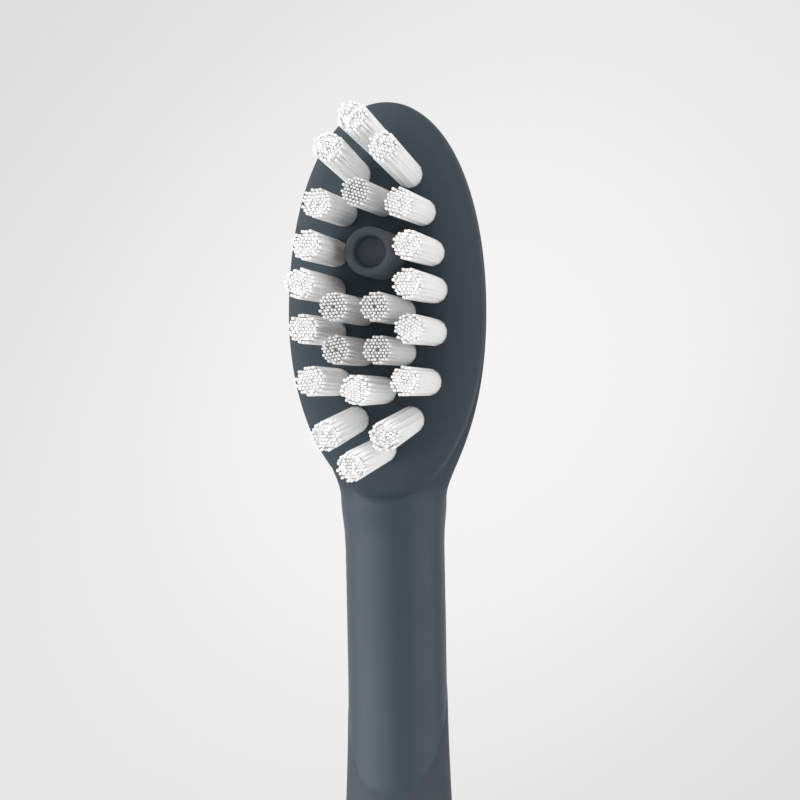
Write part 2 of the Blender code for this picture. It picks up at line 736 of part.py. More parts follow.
def section(height):
    """Half-width, middle, front and back depth of the lofted body at a height."""
    if height <= PLATE_BOTTOM:
        radius = neck_radius(height)
        middle = -neck_forward(height)
        return radius, middle, radius, radius
    blend = ease((height - PLATE_BOTTOM) / PLATE_LOWER)
    widest = PLATE_HALF_WIDTH - PLATE_LAP
    neck = NECK_RADIUS + SHOULDER_RISE
    oval = (widest ** BLEND_POWER - neck ** BLEND_POWER) ** (1 / BLEND_POWER)
    if height < PLATE_WIDEST:
        half = head_half_width(height, oval)
        half = (half ** BLEND_POWER + neck ** BLEND_POWER) ** (1 / BLEND_POWER)
        fade = 1.0
    else:
        half = head_half_width(height, widest)
        fade = half / widest
    plate_middle = -FACE_FORWARD + HEAD_DEPTH - BACK_FULLNESS
    middle = -NECK_FORWARD + (plate_middle + NECK_FORWARD) * blend
    front = neck + (PLATE_EDGE - neck) * blend
    back = neck + (BACK_FULLNESS - neck) * blend
    return half, middle, front * fade, back * fade


def section_heights():
    neck = between(BRUSH_BASE + SPIGOT_HEIGHT, PLATE_BOTTOM, NECK_RINGS)
    shoulder = between(PLATE_BOTTOM, PLATE_WIDEST, SHOULDER_RINGS)[1:]
    crown = [PLATE_WIDEST + PLATE_UPPER * math.sin(math.pi / 2 * step / CROWN_STEPS) for step in range(1, CROWN_STEPS)]
    return neck + shoulder + crown + [HEAD_TOP - PLATE_LAP]


def loft_body():
    """Back of the head and neck, lofted from round sections to flat ovals."""
    shape = bmesh.new()
    spigot = [(BRUSH_BASE, SPIGOT_RADIUS), (BRUSH_BASE + SPIGOT_HEIGHT, SPIGOT_RADIUS)]
    rows = [(height, (radius, -neck_forward(height), radius, radius)) for height, radius in spigot]
    rows += [(height, section(height)) for height in section_heights()]
    rings = []
    for height, (half, middle, front, back) in rows:
        corners = []
        for step in range(RING_POINTS):
            angle = 2 * math.pi * step / RING_POINTS
            depth = -front if math.cos(angle) > 0 else -back
            corners.append(shape.verts.new((half * math.sin(angle), middle + depth * math.cos(angle), height)))
        rings.append(corners)
    for lower, upper in zip(rings, rings[1:]):
        for step in range(RING_POINTS):
            after = (step + 1) % RING_POINTS
            shape.faces.new((lower[step], lower[after], upper[after], upper[step]))
    shape.faces.new(reversed(rings[0]))
    shape.faces.new(rings[-1])
    return to_object("brush_head_shell", shape, SHELL_FINISH)


def plate_solid():
    """The bristle plate: an oval with a broad rounded front edge and a smaller one behind."""
    shape = bmesh.new()
    outline = bmesh.ops.create_circle(shape, cap_ends=True, segments=PLATE_POINTS, radius=1)
    for corner in outline["verts"]:
        reach = PLATE_UPPER if corner.co.y > 0 else PLATE_LOWER
        height = PLATE_WIDEST + reach * corner.co.y
        across = math.copysign(head_half_width(height, PLATE_HALF_WIDTH), corner.co.x)
        corner.co = (across, -FACE_FORWARD + PLATE_DEPTH, height)
    grown = bmesh.ops.extrude_face_region(shape, geom=shape.faces[:])
    front = [part for part in grown["geom"] if isinstance(part, bmesh.types.BMVert)]
    bmesh.ops.translate(shape, vec=(0, -PLATE_DEPTH, 0), verts=front)
    bmesh.ops.recalc_face_normals(shape, faces=shape.faces)
    front_rim = [edge for edge in shape.edges if all(corner in front for corner in edge.verts)]
    back_rim = [edge for edge in shape.edges if not any(corner in front for corner in edge.verts)]
    for rim, width, steps in (
        (front_rim, PLATE_EDGE, PLATE_EDGE_STEPS), (back_rim, PLATE_BACK_EDGE, PLATE_BACK_STEPS),
    ):
        bmesh.ops.bevel(
            shape, geom=rim, offset=width, segments=steps, profile=0.5, affect="EDGES", material=-1,
        )
    return to_object("bristle_plate", shape)


def make_head_shell():
    shell = loft_body()
    chamber_top = BRUSH_BASE + CHAMBER_HEIGHT
    bore = turned("socket_bore", [
        (0, BRUSH_BASE + SOCKET_DEPTH), (SOCKET_BORE, BRUSH_BASE + SOCKET_DEPTH), (SOCKET_BORE, chamber_top),
        (CHAMBER_RADIUS, chamber_top), (CHAMBER_RADIUS, BRUSH_BASE - OVERRUN), (0, BRUSH_BASE - OVERRUN),
    ], steps=SMALL_STEPS, closed=False)
    join(shell, plate_solid())
    cut(shell, bore, tuft_holes(), cup_hole())


# Tufts: each is a bundle of filaments held in its own blind hole, some of them leaning outwards

# Rows from the tip down: distance below the tip as a share of the plate's length, distance from the
# middle as a share of its half-width, bristle length as a share of the common length, lean in degrees
TUFT_ROW_SHARES = (
    (0.119, 0.000, 1.066, 4.5),
    (0.186, 0.264, 0.974, 4.9),
    (0.257, 0.000, 0.971, 0.0),
    (0.281, 0.400, 0.886, 0.0),
    (0.382, 0.489, 0.924, 0.0),
    (0.475, 0.518, 1.020, 0.0),
    (0.530, 0.198, 1.017, 0.0),
    (0.581, 0.513, 0.941, 0.0),
    (0.631, 0.202, 0.930, 0.0),
    (0.705, 0.457, 0.900, 0.0),
    (0.726, 0.000, 0.956, 0.0),
    (0.800, 0.283, 0.983, -4.8),
    (0.873, 0.000, 1.096, -4.1),
)
GREY_TUFTS = ("tuft_04", "tuft_11", "tuft_12", "tuft_15", "tuft_16")
TUFT_SIDES = 12
STRAND_RADIUS = 0.00015
STRAND_PITCH = 0.00032
STRAND_SIDES = 3
BUNDLE_CORNERS = 6
BUNDLE_ROWS = 2
STRAND_ROOT = 0.0004
ROOT_SINK = 0.00005


def tuft_places():
    """Name, root point, rotation about X and length of every tuft."""
    made = []
    for down, across, length, lean in TUFT_ROW_SHARES:
        for side in (-1, 1) if across else (1,):
            root = (side * across * PLATE_HALF_WIDTH, -FACE_FORWARD, HEAD_TOP - down * PLATE_LENGTH)
            turn = math.pi / 2 - math.radians(lean)
            made.append((f"tuft_{len(made) + 1:02d}", root, turn, length * TUFT_LENGTH))
    return made


def tuft_matrix(root, turn):
    return Matrix.Translation(root) @ Matrix.Rotation(turn, 4, "X")


def tuft_holes():
    shape = bmesh.new()
    depth = TUFT_HOLE_DEPTH + OVERRUN
    for _, root, turn, _ in tuft_places():
        lift = Matrix.Translation((0, 0, OVERRUN - depth / 2))
        bmesh.ops.create_cone(
            shape, cap_ends=True, segments=TUFT_SIDES, radius1=TUFT_RADIUS + SLIDE_GAP,
            radius2=TUFT_RADIUS + SLIDE_GAP, depth=depth, matrix=tuft_matrix(root, turn) @ lift,
        )
    return to_object("tuft_holes", shape)


def strand_places():
    """Middle and six-sided rows of a close-packed bundle."""
    points = [(0.0, 0.0)]
    turn = 2 * math.pi / BUNDLE_CORNERS
    for row in range(1, BUNDLE_ROWS + 1):
        for corner in range(BUNDLE_CORNERS):
            start = Vector((math.cos(turn * corner), math.sin(turn * corner)))
            after = Vector((math.cos(turn * (corner + 1)), math.sin(turn * (corner + 1))))
            for step in range(row):
                spot = (start * (row - step) + after * step) * STRAND_PITCH
                points.append((spot.x, spot.y))
    return points


def make_tuft(name, root, turn, length):
    slug = bmesh.new()
    low = -TUFT_HOLE_DEPTH + SLIDE_GAP
    bmesh.ops.create_cone(
        slug, cap_ends=True, segments=TUFT_SIDES, radius1=TUFT_RADIUS, radius2=TUFT_RADIUS,
        depth=-ROOT_SINK - low, matrix=Matrix.Translation((0, 0, (low - ROOT_SINK) / 2)),
    )
    tuft = to_object(name, slug, GREY_NYLON_FINISH if name in GREY_TUFTS else WHITE_NYLON_FINISH)
    strands = bmesh.new()
    reach = length + STRAND_ROOT
    for across, up in strand_places():
        bmesh.ops.create_cone(
            strands, cap_ends=True, segments=STRAND_SIDES, radius1=STRAND_RADIUS, radius2=STRAND_RADIUS,
            depth=reach, matrix=Matrix.Translation((across, up, length - reach / 2)),
        )
    bundle = to_object(f"{name}_strands", strands)
    for item in (tuft, bundle):
        item.location = root
        item.rotation_euler.x = turn
    join(tuft, bundle)


# Polishing cup: a soft round cup in the open field between the upper tufts

CUP_DOWN_SHARE = 0.389
CUP_RADIUS = 0.0014
CUP_WALL = 0.0005
CUP_LENGTH = 0.0050
CUP_HOLLOW = 0.0011
CUP_STEM_RADIUS = 0.0009
CUP_STEM_LENGTH = 0.0012


def cup_place():
    return Vector((0, -FACE_FORWARD, HEAD_TOP - CUP_DOWN_SHARE * PLATE_LENGTH))


def cup_hole():
    inwards = Vector((0, 1, 0))
    start = cup_place() - inwards * OVERRUN
    end = cup_place() + inwards * (CUP_STEM_LENGTH + SLIDE_GAP)
    return rod("cup_hole", CUP_STEM_RADIUS + SLIDE_GAP, start, end)


def make_cup():
    foot = SEAT_GAP
    edge = CUP_WALL / 2
    cup = turned("polishing_cup", [
        (0, CUP_LENGTH - CUP_HOLLOW), (CUP_RADIUS - CUP_WALL, CUP_LENGTH - CUP_HOLLOW + edge),
        (CUP_RADIUS - CUP_WALL, CUP_LENGTH - edge), (CUP_RADIUS - edge, CUP_LENGTH), (CUP_RADIUS, CUP_LENGTH - edge),
        (CUP_RADIUS, foot + edge), (CUP_RADIUS - edge, foot), (CUP_STEM_RADIUS, foot),
        (CUP_STEM_RADIUS, -CUP_STEM_LENGTH), (0, -CUP_STEM_LENGTH),
    ], RUBBER_FINISH, SMALL_STEPS, closed=False)
    cup.location = cup_place()
    cup.rotation_euler.x = math.pi / 2


# Shaft socket, its spring clip and the ring round the brush head's base

SOCKET_LIFT = 0.0014
SOCKET_FLANGE = 0.0018
CLIP_HEIGHT = 0.0012
CLIP_THICKNESS = 0.0006
CLIP_MOUTH = 0.0010


def make_socket():
    low = BRUSH_BASE + SOCKET_LIFT
    high = BRUSH_BASE + SOCKET_DEPTH - SEAT_GAP
    outer = SOCKET_BORE - SEAT_GAP
    wide = CHAMBER_RADIUS - SEAT_GAP
    socket = turned("shaft_socket", [
        (0, high), (outer, high), (outer, low + SOCKET_FLANGE), (wide, low + SOCKET_FLANGE), (wide, low), (0, low),
    ], SOCKET_FINISH, SMALL_STEPS, closed=False)
    radius = SHAFT_RADIUS + SLIDE_GAP
    flat_low = HANDLE_HEIGHT + FLAT_RISE + FIT_GAP
    lead_in = rod("socket_lead_in", radius, (0, 0, low - OVERRUN), (0, 0, flat_low))
    keyed = d_rod("socket_keyed_bore", radius, SHAFT_FLAT + SLIDE_GAP, low - OVERRUN, SHAFT_TOP + FIT_GAP)
    cut(socket, lead_in, keyed)


def make_clip():
    low = BRUSH_BASE + SOCKET_LIFT + SOCKET_FLANGE + SEAT_GAP
    inner = SOCKET_BORE
    outer = inner + CLIP_THICKNESS
    clip = ring("socket_clip", inner, outer, low, low + CLIP_HEIGHT, STEEL_FINISH, SMALL_STEPS)
    mouth = block(
        "clip_mouth_cut", (-CLIP_MOUTH, 0, low - OVERRUN), (CLIP_MOUTH, outer + OVERRUN, low + CLIP_HEIGHT + OVERRUN),
    )
    cut(clip, mouth)


def make_colour_ring():
    low = BRUSH_BASE + SEAT_GAP
    high = BRUSH_BASE + SPIGOT_HEIGHT - SEAT_GAP
    edge = SEAT_GAP * 3
    outer = NECK_BASE_RADIUS
    turned("colour_ring", [
        (outer, high), (outer, low + edge), (outer - edge, low), (SPIGOT_RADIUS + SEAT_GAP, low),
        (SPIGOT_RADIUS + SEAT_GAP, high),
    ], TRIM_FINISH)


clear_scene()
PARTS = new_collection("electric_toothbrush")
CUTTERS = new_collection("cutters")

SLATE = (0.052, 0.075, 0.092)
SHELL_FINISH = finish("slate plastic", SLATE, 0.42)
TRIM_FINISH = finish("light slate plastic", (0.11, 0.14, 0.16), 0.40)
BUTTON_FINISH = finish("slate button plastic", (0.075, 0.10, 0.12), 0.45)
RUBBER_FINISH = finish("slate elastomer", (0.055, 0.072, 0.085), 0.60)
SEAL_FINISH = finish("black rubber", (0.02, 0.02, 0.022), 0.70)
WHITE_NYLON_FINISH = finish("white nylon", (0.86, 0.87, 0.87), 0.45)
GREY_NYLON_FINISH = finish("grey nylon", (0.40, 0.41, 0.41), 0.50)
SOCKET_FINISH = finish("white acetal", (0.70, 0.70, 0.68), 0.40)
FRAME_FINISH = finish("grey frame plastic", (0.30, 0.31, 0.32), 0.55)
BEARING_FINISH = finish("sintered bronze", (0.45, 0.30, 0.16), 0.45, 1.0)
STEEL_FINISH = finish("steel", (0.60, 0.60, 0.60), 0.30, 1.0)
IRON_FINISH = finish("laminated iron", (0.28, 0.28, 0.29), 0.45, 1.0)
MAGNET_FINISH = finish("nickel plate", (0.66, 0.65, 0.62), 0.22, 1.0)
COPPER_FINISH = finish("copper winding", (0.72, 0.32, 0.16), 0.35, 1.0)
BRASS_FINISH = finish("plated brass", (0.76, 0.60, 0.32), 0.30, 1.0)
FERRITE_FINISH = finish("ferrite", (0.05, 0.05, 0.055), 0.60)
BOARD_FINISH = finish("green board", (0.02, 0.16, 0.07), 0.45)
CHIP_FINISH = finish("chip package", (0.02, 0.02, 0.02), 0.50)
CELL_FINISH = finish("cell sleeve", (0.10, 0.22, 0.42), 0.35)
LAMP_FINISH = finish("frosted lens", (0.82, 0.84, 0.84), 0.35)

make_housing()
make_nose_trim()
make_shaft_seal()
make_base_cap()
make_cap_seal()
make_charging_set()
make_chassis()
make_cell()
make_power_button()
make_board()
make_switch()
make_light()
make_motor()
make_bearings()
make_damper()
make_shaft()
make_rotor()
make_head_shell()
for tuft_name, tuft_root, tuft_turn, tuft_reach in tuft_places():
    make_tuft(tuft_name, tuft_root, tuft_turn, tuft_reach)
make_cup()
make_socket()
make_clip()
make_colour_ring()
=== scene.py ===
"""Looks of a sonic toothbrush, in the order in which it is put together: chassis, cell, board, motor,
handle, brush head, tufts, and then the studio that it stands in. Metres, +Z up, bristles towards -Y.
Patterns in the finishes are sized in millimetres.
"""
import math
import random

import bmesh
import bpy
import numpy as np
from mathutils import Matrix, Vector


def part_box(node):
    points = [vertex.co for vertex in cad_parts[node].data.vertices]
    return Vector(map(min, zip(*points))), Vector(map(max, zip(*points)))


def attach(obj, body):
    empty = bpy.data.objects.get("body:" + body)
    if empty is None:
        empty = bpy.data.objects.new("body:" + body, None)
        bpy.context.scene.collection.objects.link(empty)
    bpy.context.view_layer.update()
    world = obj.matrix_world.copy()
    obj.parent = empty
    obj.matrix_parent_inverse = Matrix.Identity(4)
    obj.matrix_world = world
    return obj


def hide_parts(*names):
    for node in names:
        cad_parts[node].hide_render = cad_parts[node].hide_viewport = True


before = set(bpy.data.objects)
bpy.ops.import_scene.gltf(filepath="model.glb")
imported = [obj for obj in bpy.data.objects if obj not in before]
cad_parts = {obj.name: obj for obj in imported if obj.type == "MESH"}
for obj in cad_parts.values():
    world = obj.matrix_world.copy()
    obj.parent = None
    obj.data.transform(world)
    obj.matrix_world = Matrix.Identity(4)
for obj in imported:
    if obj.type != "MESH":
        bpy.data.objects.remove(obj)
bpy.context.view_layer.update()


# Chassis. One glass-filled nylon moulding that slides into the handle from below.
# It carries the cell, the board and the motor, and stays the natural light grey of its pellets.

PIGMENT_CLOUD = 9.0
PIGMENT_SPREAD = 0.05
POLISH_PATCH = 2.5
SPARK_GRAIN = 0.10
SPARK_DEPTH = 0.0000012
NATURAL_NYLON = (0.30, 0.31, 0.32)


class Signal:
    """One output of a finish's shader tree. Arithmetic on signals adds Math nodes."""

    def __init__(self, tree, socket=None):
        self.tree = tree
        self.socket = socket

    def add(self, kind, inputs=None, output=0, **settings):
        """Add any node: its settings first, then the values or links of its sockets."""
        made = self.tree.nodes.new(kind)
        for name, value in settings.items():
            setattr(made, name, value)
        for name, value in (inputs or {}).items():
            if isinstance(value, Signal):
                self.tree.links.new(value.socket, made.inputs[name])
            else:
                made.inputs[name].default_value = value
        return Signal(self.tree, made.outputs[output])

    def math(self, operation, first, second=0.0):
        return self.add("ShaderNodeMath", {0: first, 1: second}, operation=operation)

    def __add__(self, other):
        return self.math("ADD", self, other)

    def __sub__(self, other):
        return self.math("SUBTRACT", self, other)

    def __rsub__(self, other):
        return self.math("SUBTRACT", other, self)

    def __mul__(self, other):
        return self.math("MULTIPLY", self, other)

    __radd__ = __add__
    __rmul__ = __mul__

    def __gt__(self, other):
        return self.math("GREATER_THAN", self, other)

    def sine(self):
        return self.math("SINE", self)

    def axis(self, name):
        return self.add("ShaderNodeSeparateXYZ", {0: self}, output=name)

    def vector(self, operation, inputs, output=0):
        """This vector as the first input of a Vector Math node."""
        return self.add("ShaderNodeVectorMath", {0: self, **inputs}, output=output, operation=operation)

    def noise(self, size, detail=2.0, stretch=(1, 1, 1)):
        """Noise in spots about `size` millimetres across, longer along an axis with a small stretch."""
        spot = self.vector("MULTIPLY", {1: stretch})
        return self.add("ShaderNodeTexNoise", {"Vector": spot, "Scale": 1 / size, "Detail": detail})

    def between(self, low, high):
        """Rise smoothly from 0 to 1 as the signal goes from low to high."""
        ends = {"Value": self, "From Min": low, "From Max": high}
        return self.add("ShaderNodeMapRange", ends, interpolation_type="SMOOTHSTEP")

    def bump(self, distance, strength=1.0):
        """The normal of a surface that this signal raises by a distance in metres."""
        return self.add("ShaderNodeBump", {"Height": self, "Strength": strength, "Distance": distance})

    def blend(self, first, second):
        """A colour between two colours, by this signal."""
        ends = {0: self}
        for socket, colour in ((6, first), (7, second)):
            ends[socket] = colour if isinstance(colour, Signal) else (*colour, 1)
        return self.add("ShaderNodeMix", ends, output=2, data_type="RGBA")


def new_finish(name, **constants):
    """A finish to be wired: its material, its shader, and the place on the piece in millimetres."""
    made = bpy.data.materials.new(name)
    made.use_nodes = True
    shader = made.node_tree.nodes["Principled BSDF"]
    for socket, value in constants.items():
        shader.inputs[socket.replace("_", " ")].default_value = value
    place = Signal(made.node_tree).add("ShaderNodeTexCoord", output="Object")
    return made, shader, place.vector("SCALE", {"Scale": 1000.0})


def wire(shader, **signals):
    for name, signal in signals.items():
        signal.tree.links.new(signal.socket, shader.inputs[name.replace("_", " ")])


def shades(colour, spread):
    """A darker and a lighter version of a colour."""
    return [tuple(part * factor for part in colour) for factor in (1 - spread, 1 + spread)]


def satin(spot, spark):
    """How a moulded surface's roughness wanders, in broad patches and in its grain."""
    return (spot.noise(POLISH_PATCH) - 0.5) * 0.10 + (spark - 0.5) * 0.06


def moulded(name, colour, roughness, grain=SPARK_GRAIN, depth=SPARK_DEPTH, spread=PIGMENT_SPREAD):
    """Moulded plastic: slightly uneven pigment, and the spark-eroded texture of its mould."""
    made, shader, spot = new_finish(name)
    spark = spot.noise(grain, 3.0)
    wire(
        shader,
        Base_Color=spot.noise(PIGMENT_CLOUD).blend(*shades(colour, spread)),
        Roughness=satin(spot, spark) + roughness,
        Normal=spark.bump(depth),
    )
    return made


def dress(finish, *nodes):
    """Give CAD nodes a finish."""
    for node in nodes:
        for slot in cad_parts[node].material_slots:
            slot.material = finish


dress(moulded("frame_nylon", NATURAL_NYLON, 0.55, grain=0.18, depth=0.000004, spread=0.10), "chassis")


# Cell and contacts. A steel-cased rechargeable cell in a shrunk film sleeve, with a bare steel terminal.
# Stamped strips of plated brass touch its two ends.

def metal(name, colour, roughness, stretch=(1, 1, 1), lines=0.06, depth=0.0000008, spread=0.06):
    """Bare or plated metal with fine marks from grinding or drawing, along its small stretch."""
    made, shader, spot = new_finish(name, Metallic=1.0)
    marks = spot.noise(lines, 3.0, stretch)
    wire(
        shader,
        Base_Color=spot.noise(3.0).blend(*shades(colour, spread)),
        Roughness=(marks - 0.5) * 0.16 + roughness,
        Normal=marks.bump(depth),
    )
    return made


BARE_END = 2.2
BAND_WIDTH = 6.0
FILM_BLUE = (0.06, 0.16, 0.34)
FILM_GREY = (0.62, 0.64, 0.66)
CASE_STEEL = (0.60, 0.60, 0.60)
BRASS = (0.76, 0.60, 0.32)
cell_film, shader, spot = new_finish("cell_film", Coat_Weight=0.4, Coat_Roughness=0.15)
film_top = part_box("battery_cell")[1].z * 1000 - BARE_END
height = spot.axis("Z")
steel_end = height > film_top
film_band = (height > film_top - BAND_WIDTH) * (1 - steel_end)
wrinkles = spot.noise(1.4, 2.0, (1, 1, 0.25))
wire(
    shader,
    Base_Color=steel_end.blend(film_band.blend(FILM_BLUE, FILM_GREY), CASE_STEEL),
    Metallic=steel_end,
    Roughness=wrinkles * 0.15 + 0.24,
    Normal=wrinkles.bump(0.00003, 0.6),
)
dress(cell_film, "battery_cell")
dress(metal("plated_brass_strip", BRASS, 0.28, (1, 0.05, 1)), "lower_contact", "upper_contact")


# Charging coil and core. Enamelled copper wire wound flat round the post of a sintered ferrite core.
# Both sit in the base cap, close to the face that stands on the charger.

WIRE_PITCH = 0.22
WIRE_DEPTH = 0.00003
# The darker copper colour is painted shade in the furrows between turns; the lighter one is the lit crest.
COPPER_FURROW_SHADE = (0.34, 0.12, 0.05)
COPPER_CREST_LIT = (0.80, 0.36, 0.17)
FERRITE = (0.05, 0.05, 0.055)


def winding(name, across):
    """Layers of enamelled wire, seen as ridges that repeat along one direction or radius, with painted
    shade: the furrows between turns are coloured darker than the crests.
    """
    made, shader, spot = new_finish(name, Metallic=1.0, Coat_Weight=0.5, Coat_Roughness=0.12)
    ridge = (across(spot) * (2 * math.pi / WIRE_PITCH)).sine()
    lit_crest = ridge.between(-1, 1)
    wire(
        shader,
        # Painted shade: the colour darkens from each wire's crest into the furrow beside it.
        Base_Color=lit_crest.blend(COPPER_FURROW_SHADE, COPPER_CREST_LIT),
        Roughness=lit_crest * -0.15 + 0.45,
        Normal=ridge.bump(WIRE_DEPTH),
    )
    return made


def from_axis(spot):
    return spot.vector("MULTIPLY", {1: (1, 1, 0)}).vector("LENGTH", {}, output="Value")


dress(winding("flat_copper_coil", from_axis), "charging_coil")
dress(moulded("sintered_ferrite", FERRITE, 0.62, grain=0.25, depth=0.00001, spread=0.25), "charging_core")


# Circuit board. Glass-epoxy with a green solder mask, over copper tracks that show as lighter bands.
# It carries the control chip, the lamp, and a small metal switch whose plunger the button presses.

WEAVE_RATE = 9.0
COPPER_HEIGHT = 0.00003
MASK_GREEN = (0.010, 0.085, 0.036)
TRACK_GREEN = (0.028, 0.20, 0.085)
CHIP_BLACK = (0.018, 0.018, 0.020)
SWITCH_STEEL = (0.60, 0.60, 0.59)
PLUNGER_SLATE = (0.05, 0.06, 0.07)
board, shader, spot = new_finish("green_board", Coat_Weight=0.5, Coat_Roughness=0.2)
upright_tracks = spot.noise(2.4, 0.0, (2.2, 1, 0.12)) > 0.52
cross_tracks = spot.noise(0.9, 0.0, (0.25, 1, 1.4)) > 0.40
tracks = upright_tracks * cross_tracks
weave = (spot.axis("X") * WEAVE_RATE).sine() * (spot.axis("Z") * WEAVE_RATE).sine()
wire(
    shader,
    Base_Color=tracks.blend(MASK_GREEN, TRACK_GREEN),
    Roughness=weave * 0.05 + 0.40,
    Normal=(tracks * 0.8 + weave * 0.2).bump(COPPER_HEIGHT, 0.7),
)
dress(board, "circuit_board")
dress(moulded("chip_moulding", CHIP_BLACK, 0.50, grain=0.07, spread=0.20), "control_chip")
dress(metal("switch_steel", SWITCH_STEEL, 0.32, (1, 1, 0.1)), "switch_body")
dress(moulded("plunger_acetal", PLUNGER_SLATE, 0.40), "switch_plunger")


# Motor stator. A U of stacked iron laminations with an enamelled copper coil round its bar.
# Sintered bronze plates hold the shaft, and a drawn steel can closes over all of it.

SHEET = 0.35
SHEET_DEPTH = 0.00002
SHEET_GREY = (0.30, 0.30, 0.31)
SHEET_GAP = (0.05, 0.05, 0.05)
BRONZE = (0.45, 0.30, 0.16)
CAN_STEEL = (0.58, 0.58, 0.58)
NICKEL = (0.66, 0.65, 0.62)
lamination, shader, spot = new_finish("iron_laminations", Metallic=1.0)
stack = (spot.axis("Y") * (2 * math.pi / SHEET)).sine()
wire(
    shader,
    Base_Color=(stack > 0.9).blend(SHEET_GREY, SHEET_GAP),
    Roughness=spot.noise(0.4) * 0.2 + 0.38,
    Normal=stack.bump(SHEET_DEPTH, 0.8),
)
dress(lamination, "stator_core", "rotor_yoke")
dress(winding("bar_copper_coil", lambda spot: spot.axis("X")), "drive_coil")
bronze = metal("sintered_bronze_plate", BRONZE, 0.46, lines=0.12, depth=0.000004, spread=0.16)
dress(bronze, "rear_bearing_plate", "front_bearing_plate")
dress(metal("drawn_steel_can", CAN_STEEL, 0.30, (1, 1, 0.04)), "motor_case", "socket_clip")
dress(metal("nickel_plate", NICKEL, 0.18, spread=0.03), "magnet_left", "magnet_right")


# Rubber parts inside the handle: the sleeve that keeps the motor's hum from the housing, and the O-ring
# in the base cap's groove. Both are pressed from black nitrile, with a faint bloom on the surface.

NITRILE = (0.016, 0.016, 0.018)
NITRILE_BLOOM = (0.0272, 0.0272, 0.0306)
black_rubber, shader, spot = new_finish("black_nitrile", Sheen_Weight=0.15, Sheen_Roughness=0.5)
bloom = spot.noise(1.8, 4.0)
wire(
    shader,
    Base_Color=bloom.blend(NITRILE, NITRILE_BLOOM),
    Roughness=bloom * 0.18 + 0.62,
    Normal=spot.noise(0.15).bump(0.000003),
)
dress(black_rubber, "motor_damper", "cap_o_ring")


# Drive shaft. Turned and ground steel, with a milled flat that keys the brush head.
# It swings a few degrees each way in the bronze plates and passes through the nose.

ROUND = 96
SHAFT_RADIUS = 0.0018
JOURNAL_RADIUS = 0.0016
SHAFT_FLAT = 0.00125
FLAT_RISE = 0.0029
SHAFT_TIP = 0.0005
STEP_RISE = 0.0005
GROUND_STEEL = (0.62, 0.62, 0.61)
SHARP = math.radians(32)
MERGE = 0.0000005


def to_mesh(name, shape):
    """A mesh from a bmesh, which is then freed."""
    mesh = bpy.data.meshes.new(name)
    shape.to_mesh(mesh)
    shape.free()
    return mesh


def put_in(name, data):
    """Put a mesh, a lamp or a camera in the scene."""
    made = bpy.data.objects.new(name, data)
    bpy.context.scene.collection.objects.link(made)
    return made


def to_piece(name, shape, body, slot, finish, *nodes):
    """Make a piece from a bmesh: it rides on a body, and stands for the CAD nodes named last."""
    bmesh.ops.remove_doubles(shape, verts=shape.verts, dist=MERGE)
    bmesh.ops.recalc_face_normals(shape, faces=shape.faces)
    mesh = to_mesh(name, shape)
    mesh.shade_smooth()
    mesh.set_sharp_from_angle(angle=SHARP)
    mesh.materials.append(finish)
    piece = put_in(name, mesh)
    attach(piece, body)
    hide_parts(*nodes)


def spun(profile, steps=ROUND):
    """Spin a line of (radius, height) points round Z. Points at radius 0 become closed poles."""
    shape = bmesh.new()
    line = [shape.verts.new((radius, 0, height)) for radius, height in profile]
    for first, second in zip(line, line[1:]):
        shape.edges.new((first, second))
    if profile[0][0] and profile[-1][0]:
        shape.edges.new((line[-1], line[0]))
    bmesh.ops.spin(
        shape, geom=shape.verts[:] + shape.edges[:], cent=(0, 0, 0), axis=(0, 0, 1),
        angle=2 * math.pi, steps=steps, use_merge=True,
    )
    bmesh.ops.remove_doubles(shape, verts=shape.verts, dist=MERGE)
    return shape


def round_edges(shape, width, segments=3):
    """Round every edge that is sharper than the shading limit."""
    sharp = [edge for edge in shape.edges if edge.calc_face_angle(0) > SHARP]
    bmesh.ops.bevel(
        shape, geom=sharp, offset=width, segments=segments, profile=0.5, affect="EDGES", material=-1,
        clamp_overlap=True,
    )


shaft_low, shaft_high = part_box("drive_shaft")
handle_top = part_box("nose_trim_ring")[1].z
flat_low = handle_top + FLAT_RISE
step_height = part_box("motor_case")[1].z + STEP_RISE
shaft = spun([
    (0, shaft_high.z), (SHAFT_RADIUS - SHAFT_TIP, shaft_high.z), (SHAFT_RADIUS, shaft_high.z - SHAFT_TIP),
    (SHAFT_RADIUS, flat_low), (SHAFT_RADIUS, flat_low - MERGE * 4), (SHAFT_RADIUS, step_height),
    (JOURNAL_RADIUS, step_height), (JOURNAL_RADIUS, shaft_low.z), (0, shaft_low.z),
])
for corner in shaft.verts:
    if corner.co.z > flat_low - MERGE:
        corner.co.y = max(corner.co.y, -SHAFT_FLAT)
ground_steel = metal("ground_steel", GROUND_STEEL, 0.24, (0.02, 0.02, 1), lines=0.03)
to_piece("drive_shaft_ground", shaft, "drive", "steel", ground_steel, "drive_shaft")


# Handle housing. One injection-moulded tube of slate plastic with a satin, finely sparked surface.
# It swells slightly at the grip and sweeps in to the nose, with openings for the button and the lamp.

HOUSING_WALL = 0.0016
BASE_RADIUS = 0.0122
GRIP_RADIUS = 0.0130
GRIP_HEIGHT = 0.0550
SHOULDER_RADIUS = 0.0112
SWEEP_LENGTH = 0.0220
NOSE_RADIUS = 0.0056
NOSE_HEIGHT = 0.0070
LIP_THICKNESS = 0.0015
LIP_RADIUS = 0.0026
BUTTON_GAP = 0.00015
SEAT_GAP = 0.0001
GRIP_RINGS = 70
SWEEP_RINGS = 40
BUTTON_HALF_WIDTH = 0.0034
BUTTON_HALF_HEIGHT = 0.0060
SLATE = (0.0243, 0.0438, 0.0610)
TO_FRONT = Matrix.Rotation(math.pi / 2, 4, "X")
nose_start = handle_top - NOSE_HEIGHT
shoulder_height = nose_start - SWEEP_LENGTH


def ease(share):
    """Rise from 0 to 1 with level ends."""
    share = np.clip(share, 0.0, 1.0)
    return share * share * (3 - 2 * share)


